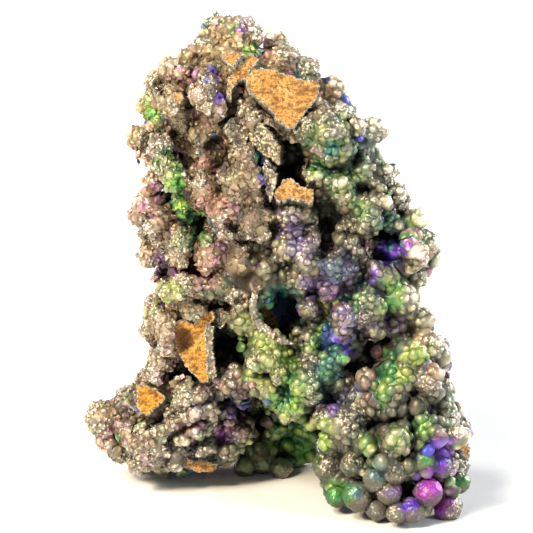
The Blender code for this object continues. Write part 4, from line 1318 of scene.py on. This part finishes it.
def broken_face(bm, rows, settings, relief, crust_width, yellow=0.0, pits=()):
    """One closed rough block under an outline, added to a bmesh."""
    showing = MADE["showing"]
    place, tilt, turn, outline = rows
    matrix = face_frame(showing, place, tilt, turn)
    edge = ragged(local_outline(showing, matrix, outline))
    low = [min(p[i] for p in edge) for i in (0, 1)]
    high = [max(p[i] for p in edge) for i in (0, 1)]
    step = settings.step / MM
    counts = [math.ceil((high[i] - low[i]) / step) + 2 for i in (0, 1)]
    patch = bmesh.new()
    bmesh.ops.create_grid(patch, x_segments=counts[0], y_segments=counts[1], size=0.5)
    for vert in patch.verts:
        vert.co.x = (vert.co.x + 0.5) * counts[0] * step + low[0] - step
        vert.co.y = (vert.co.y + 0.5) * counts[1] * step + low[1] - step
    middles = np.array([f.calc_center_median()[:2] for f in patch.faces])
    kept = inside(edge, middles[:, 0], middles[:, 1])
    bmesh.ops.delete(patch, geom=[f for f, keep in zip(patch.faces, kept) if not keep], context="FACES")
    layers = {key: patch.verts.layers.float.new(key) for key in
              ("rim", "height", "film", "vivid", "tone", "yellow", "frost")}
    flat = np.array([v.co[:2] for v in patch.verts])
    far = edge_distance(edge, flat[:, 0], flat[:, 1])
    seats = [matrix @ (v.co * MM) for v in patch.verts]
    across, up = showing.seen(np.array(seats))
    sunk = np.zeros(len(flat))
    for x, y, radius, depth in pits:
        sunk += depth * (1 - smooth(0.3, 1.3, np.hypot(across - x, up - y) / radius))
    for vert, spot, gap, dip in zip(patch.verts, seats, far, sunk):
        wave = noise.fractal(spot / (2.2 * MM), 0.8, 2.1, 4) * 0.5 + noise.noise(spot / (0.62 * MM)) * 0.45
        crust = 1 - min(1, max(0, (gap - crust_width * 0.3) / crust_width))
        height = min(1, max(0, 0.55 + wave * 0.6 - dip * 0.25))
        # Lighter where the relief stands high, a painted light, and paler at the crust rim, the crust's own
        # colour
        film, tone = 0.08 + 0.16 * noise.noise(spot / (3 * MM)), 0.45 + wave * 0.5 + crust * 0.3
        paint(vert, layers, height=height, yellow=yellow, rim=crust)
        paint(vert, layers, film=film, vivid=0.3, frost=0.75, tone=tone)
        vert.co.z = wave * relief * (1 - crust * 0.5) + 0.3 * crust - dip
    grown = bmesh.ops.extrude_face_region(patch, geom=patch.faces[:])["geom"]
    for vert in grown:
        if isinstance(vert, bmesh.types.BMVert):
            vert.co.z = -settings.depth / MM
            paint(vert, layers, rim=1, tone=0)
    patch.transform(matrix @ Matrix.Diagonal((MM, MM, MM, 1)))
    bmesh.ops.recalc_face_normals(patch, faces=patch.faces)
    mesh = bpy.data.meshes.new("block")
    patch.to_mesh(mesh)
    patch.free()
    bm.from_mesh(mesh)
    bpy.data.meshes.remove(mesh)


def hollow_lip(bm):
    """The thin broken shell that stands round the lower left of the round hollow."""
    showing = MADE["showing"]
    there_and_back = ragged(HOLLOW_LIP + HOLLOW_LIP[-2:0:-1], step=0.35, depth=0.25)
    path = there_and_back[:len(there_and_back) // 2]
    root = 5 * MM
    layers = {key: bm.verts.layers.float.get(key) for key in ("film", "vivid", "tone", "frost")}
    rows = []
    for index, (across, up) in enumerate(path):
        before, after = path[max(0, index - 1)], path[min(len(path) - 1, index + 1)]
        run = Vector((after[0] - before[0], after[1] - before[1])).normalized()
        side = (showing.across * -run.y + showing.up * run.x) * MM
        line = showing.line(across, up)
        hit = showing.find_near(across - 1.0, up - 0.6)
        spot = showing.eye + line * ((hit - showing.eye).dot(line))
        ends = math.sin(math.pi * (index + 0.5) / len(path)) ** 0.4
        top = (1.2 + 2 * ends + 0.9 * noise.noise(Vector((index * 0.33, 0, 0)))) * MM
        wide = (0.95 + 0.4 * noise.noise(Vector((index * 0.41, 4, 0)))) * ends + 0.08
        # Painted light along the lip's top, and painted shade down to its root
        lit_edge = 0.62 + 0.3 * noise.noise(Vector((index * 0.5, 8, 0)))
        corners = [(-wide, -root, 0), (-wide, top, lit_edge), (wide, top * 0.8, lit_edge), (wide, -root, 0)]
        row = []
        for offset, rise, tone in corners:
            vert = bm.verts.new(spot + side * offset - line * rise)
            paint(vert, layers, film=0.05, vivid=0.1, frost=0.8, tone=tone)
            row.append(vert)
        rows.append(row)
    for first, second in zip(rows, rows[1:]):
        for i in range(4):
            bm.faces.new((first[i], first[(i + 1) % 4], second[(i + 1) % 4], second[i]))
    bm.faces.new(rows[0][::-1])
    bm.faces.new(rows[-1])
    bmesh.ops.recalc_face_normals(bm, faces=bm.faces)


class GOETHITE_OT_broken_faces(bpy.types.Operator):
    """Makes the granular ochre faces where the crust broke away"""

    bl_idname = "goethite.broken_faces"
    bl_label = "Broken faces"

    def execute(self, context):
        settings = context.scene.goethite_faces
        bm = bmesh.new()
        for name, rows in BROKEN_FACES.items():
            yellow, pits = YELLOW.get(name, 0.0), PITS.get(name, ())
            broken_face(bm, rows, settings, relief=0.6, crust_width=0.28, yellow=yellow, pits=pits)
        faces = object_from("limonite_faces", bm)
        faces.data.shade_smooth()
        faces.data.materials.append(limonite(settings))
        finish(faces)
        return {"FINISHED"}


class GOETHITE_OT_plates(bpy.types.Operator):
    """Makes the bare plates of crust and the broken shell round the hollow"""

    bl_idname = "goethite.plates"
    bl_label = "Crust plates"

    def execute(self, context):
        settings = context.scene.goethite_faces
        bm = bmesh.new()
        for rows in PLATES.values():
            broken_face(bm, rows, settings, relief=0.8, crust_width=0.25)
        hollow_lip(bm)
        plates = object_from("crust_plates", bm)
        plates.data.shade_smooth()
        plates.data.materials.append(MADE["skin"])
        finish(plates)
        return {"FINISHED"}


def lamp(name, kind, place, power, size, colour):
    """A light that looks at the middle of the specimen; a sun's size is its angle."""
    light = bpy.data.lights.new(name, kind)
    light.energy = power
    light.color = colour
    if kind == "SUN":
        light.angle = size
    else:
        light.shape = "DISK"
        light.size = size
    obj = bpy.data.objects.new(name, light)
    obj.location = place
    towards = MIDDLE - obj.location
    obj.rotation_euler = towards.to_track_quat("-Z", "Y").to_euler()
    bpy.context.scene.collection.objects.link(obj)


class GOETHITE_OT_stage(bpy.types.Operator):
    """Sets the floor, the lights, the world and the camera"""

    bl_idname = "goethite.stage"
    bl_label = "Stage"

    def execute(self, context):
        settings = context.scene.goethite_stage
        scene = context.scene
        scene.view_settings.view_transform = "Standard"
        bm = bmesh.new()
        bmesh.ops.create_grid(bm, x_segments=1, y_segments=1, size=3)
        floor = object_from("floor", bm)
        material, _, shader, _ = new_material("pale_floor")
        shader.inputs["Base Color"].default_value = (*settings.floor_colour, 1)
        shader.inputs["Roughness"].default_value = 0.9
        floor.data.materials.append(material)
        lamp("key", "SUN", (-0.4, -0.5, 0.8), settings.key_power, math.radians(14), (1, 0.95, 0.86))
        lamp("side", "SUN", (0.75, -0.45, 0.5), settings.side_power, math.radians(16), (0.86, 0.94, 1))
        lamp("rim_right", "SUN", (0.75, 0.5, 0.45), settings.rim_power, math.radians(20), (1, 0.98, 0.94))
        left_power = settings.rim_power * 0.7  # the left rim is the dimmer one
        lamp("rim_left", "SUN", (-0.75, 0.5, 0.5), left_power, math.radians(20), (1, 0.97, 0.92))
        lamp("warm_spot", "AREA", (-0.28, -0.3, 0.32), settings.spot_power, 0.08, (1, 0.83, 0.56))
        world = bpy.data.worlds.new("studio")
        world.use_nodes = True
        scene.world = world
        background = world.node_tree.nodes["Background"]
        background.inputs["Color"].default_value = (*settings.world_colour, 1)
        camera = bpy.data.objects.new("camera", bpy.data.cameras.new("camera"))
        scene.collection.objects.link(camera)
        showing = MADE["showing"]
        camera.location = showing.eye
        camera.rotation_euler = showing.away.to_track_quat("-Z", "Y").to_euler()
        camera.data.sensor_width = SENSOR_WIDTH
        camera.data.lens = PIXELS_PER_MM / MM * EYE_DISTANCE / FRAME_PIXELS * SENSOR_WIDTH
        scene.camera = camera
        return {"FINISHED"}


class GOETHITE_PT_panel(bpy.types.Panel):
    """The steps and settings of the specimen, in the sidebar"""

    bl_label = "Goethite specimen"
    bl_space_type = "VIEW_3D"
    bl_region_type = "UI"
    bl_category = "Goethite"

    def draw(self, context):
        for operator in OPERATORS:
            self.layout.operator(operator.bl_idname)
        for name in GROUPS:
            group = getattr(context.scene, name)
            for key in group.bl_rna.properties.keys():
                if key not in ("rna_type", "name"):
                    self.layout.prop(group, key)


GROUPS = {
    "goethite_mass": MassSettings,
    "goethite_balls": BallSettings,
    "goethite_faces": FaceSettings,
    "goethite_stage": StageSettings,
}
OPERATORS = (
    GOETHITE_OT_mass,
    GOETHITE_OT_balls,
    GOETHITE_OT_clear_balls,
    GOETHITE_OT_broken_faces,
    GOETHITE_OT_plates,
    GOETHITE_OT_stage,
)


def register():
    """Adds the operators, the panel and the settings."""
    for cls in (*GROUPS.values(), *OPERATORS, GOETHITE_PT_panel):
        bpy.utils.register_class(cls)
    for name, group in GROUPS.items():
        setattr(bpy.types.Scene, name, bpy.props.PointerProperty(type=group))


def unregister():
    """Takes them away again."""
    for name in GROUPS:
        delattr(bpy.types.Scene, name)
    for cls in reversed((*GROUPS.values(), *OPERATORS, GOETHITE_PT_panel)):
        bpy.utils.unregister_class(cls)


def main():
    """Makes every piece in order."""
    register()
    bpy.ops.goethite.mass()
    bpy.ops.goethite.balls()
    bpy.ops.goethite.clear_balls()
    bpy.ops.goethite.broken_faces()
    bpy.ops.goethite.plates()
    bpy.ops.goethite.stage()


if __name__ == "__main__":
    main()
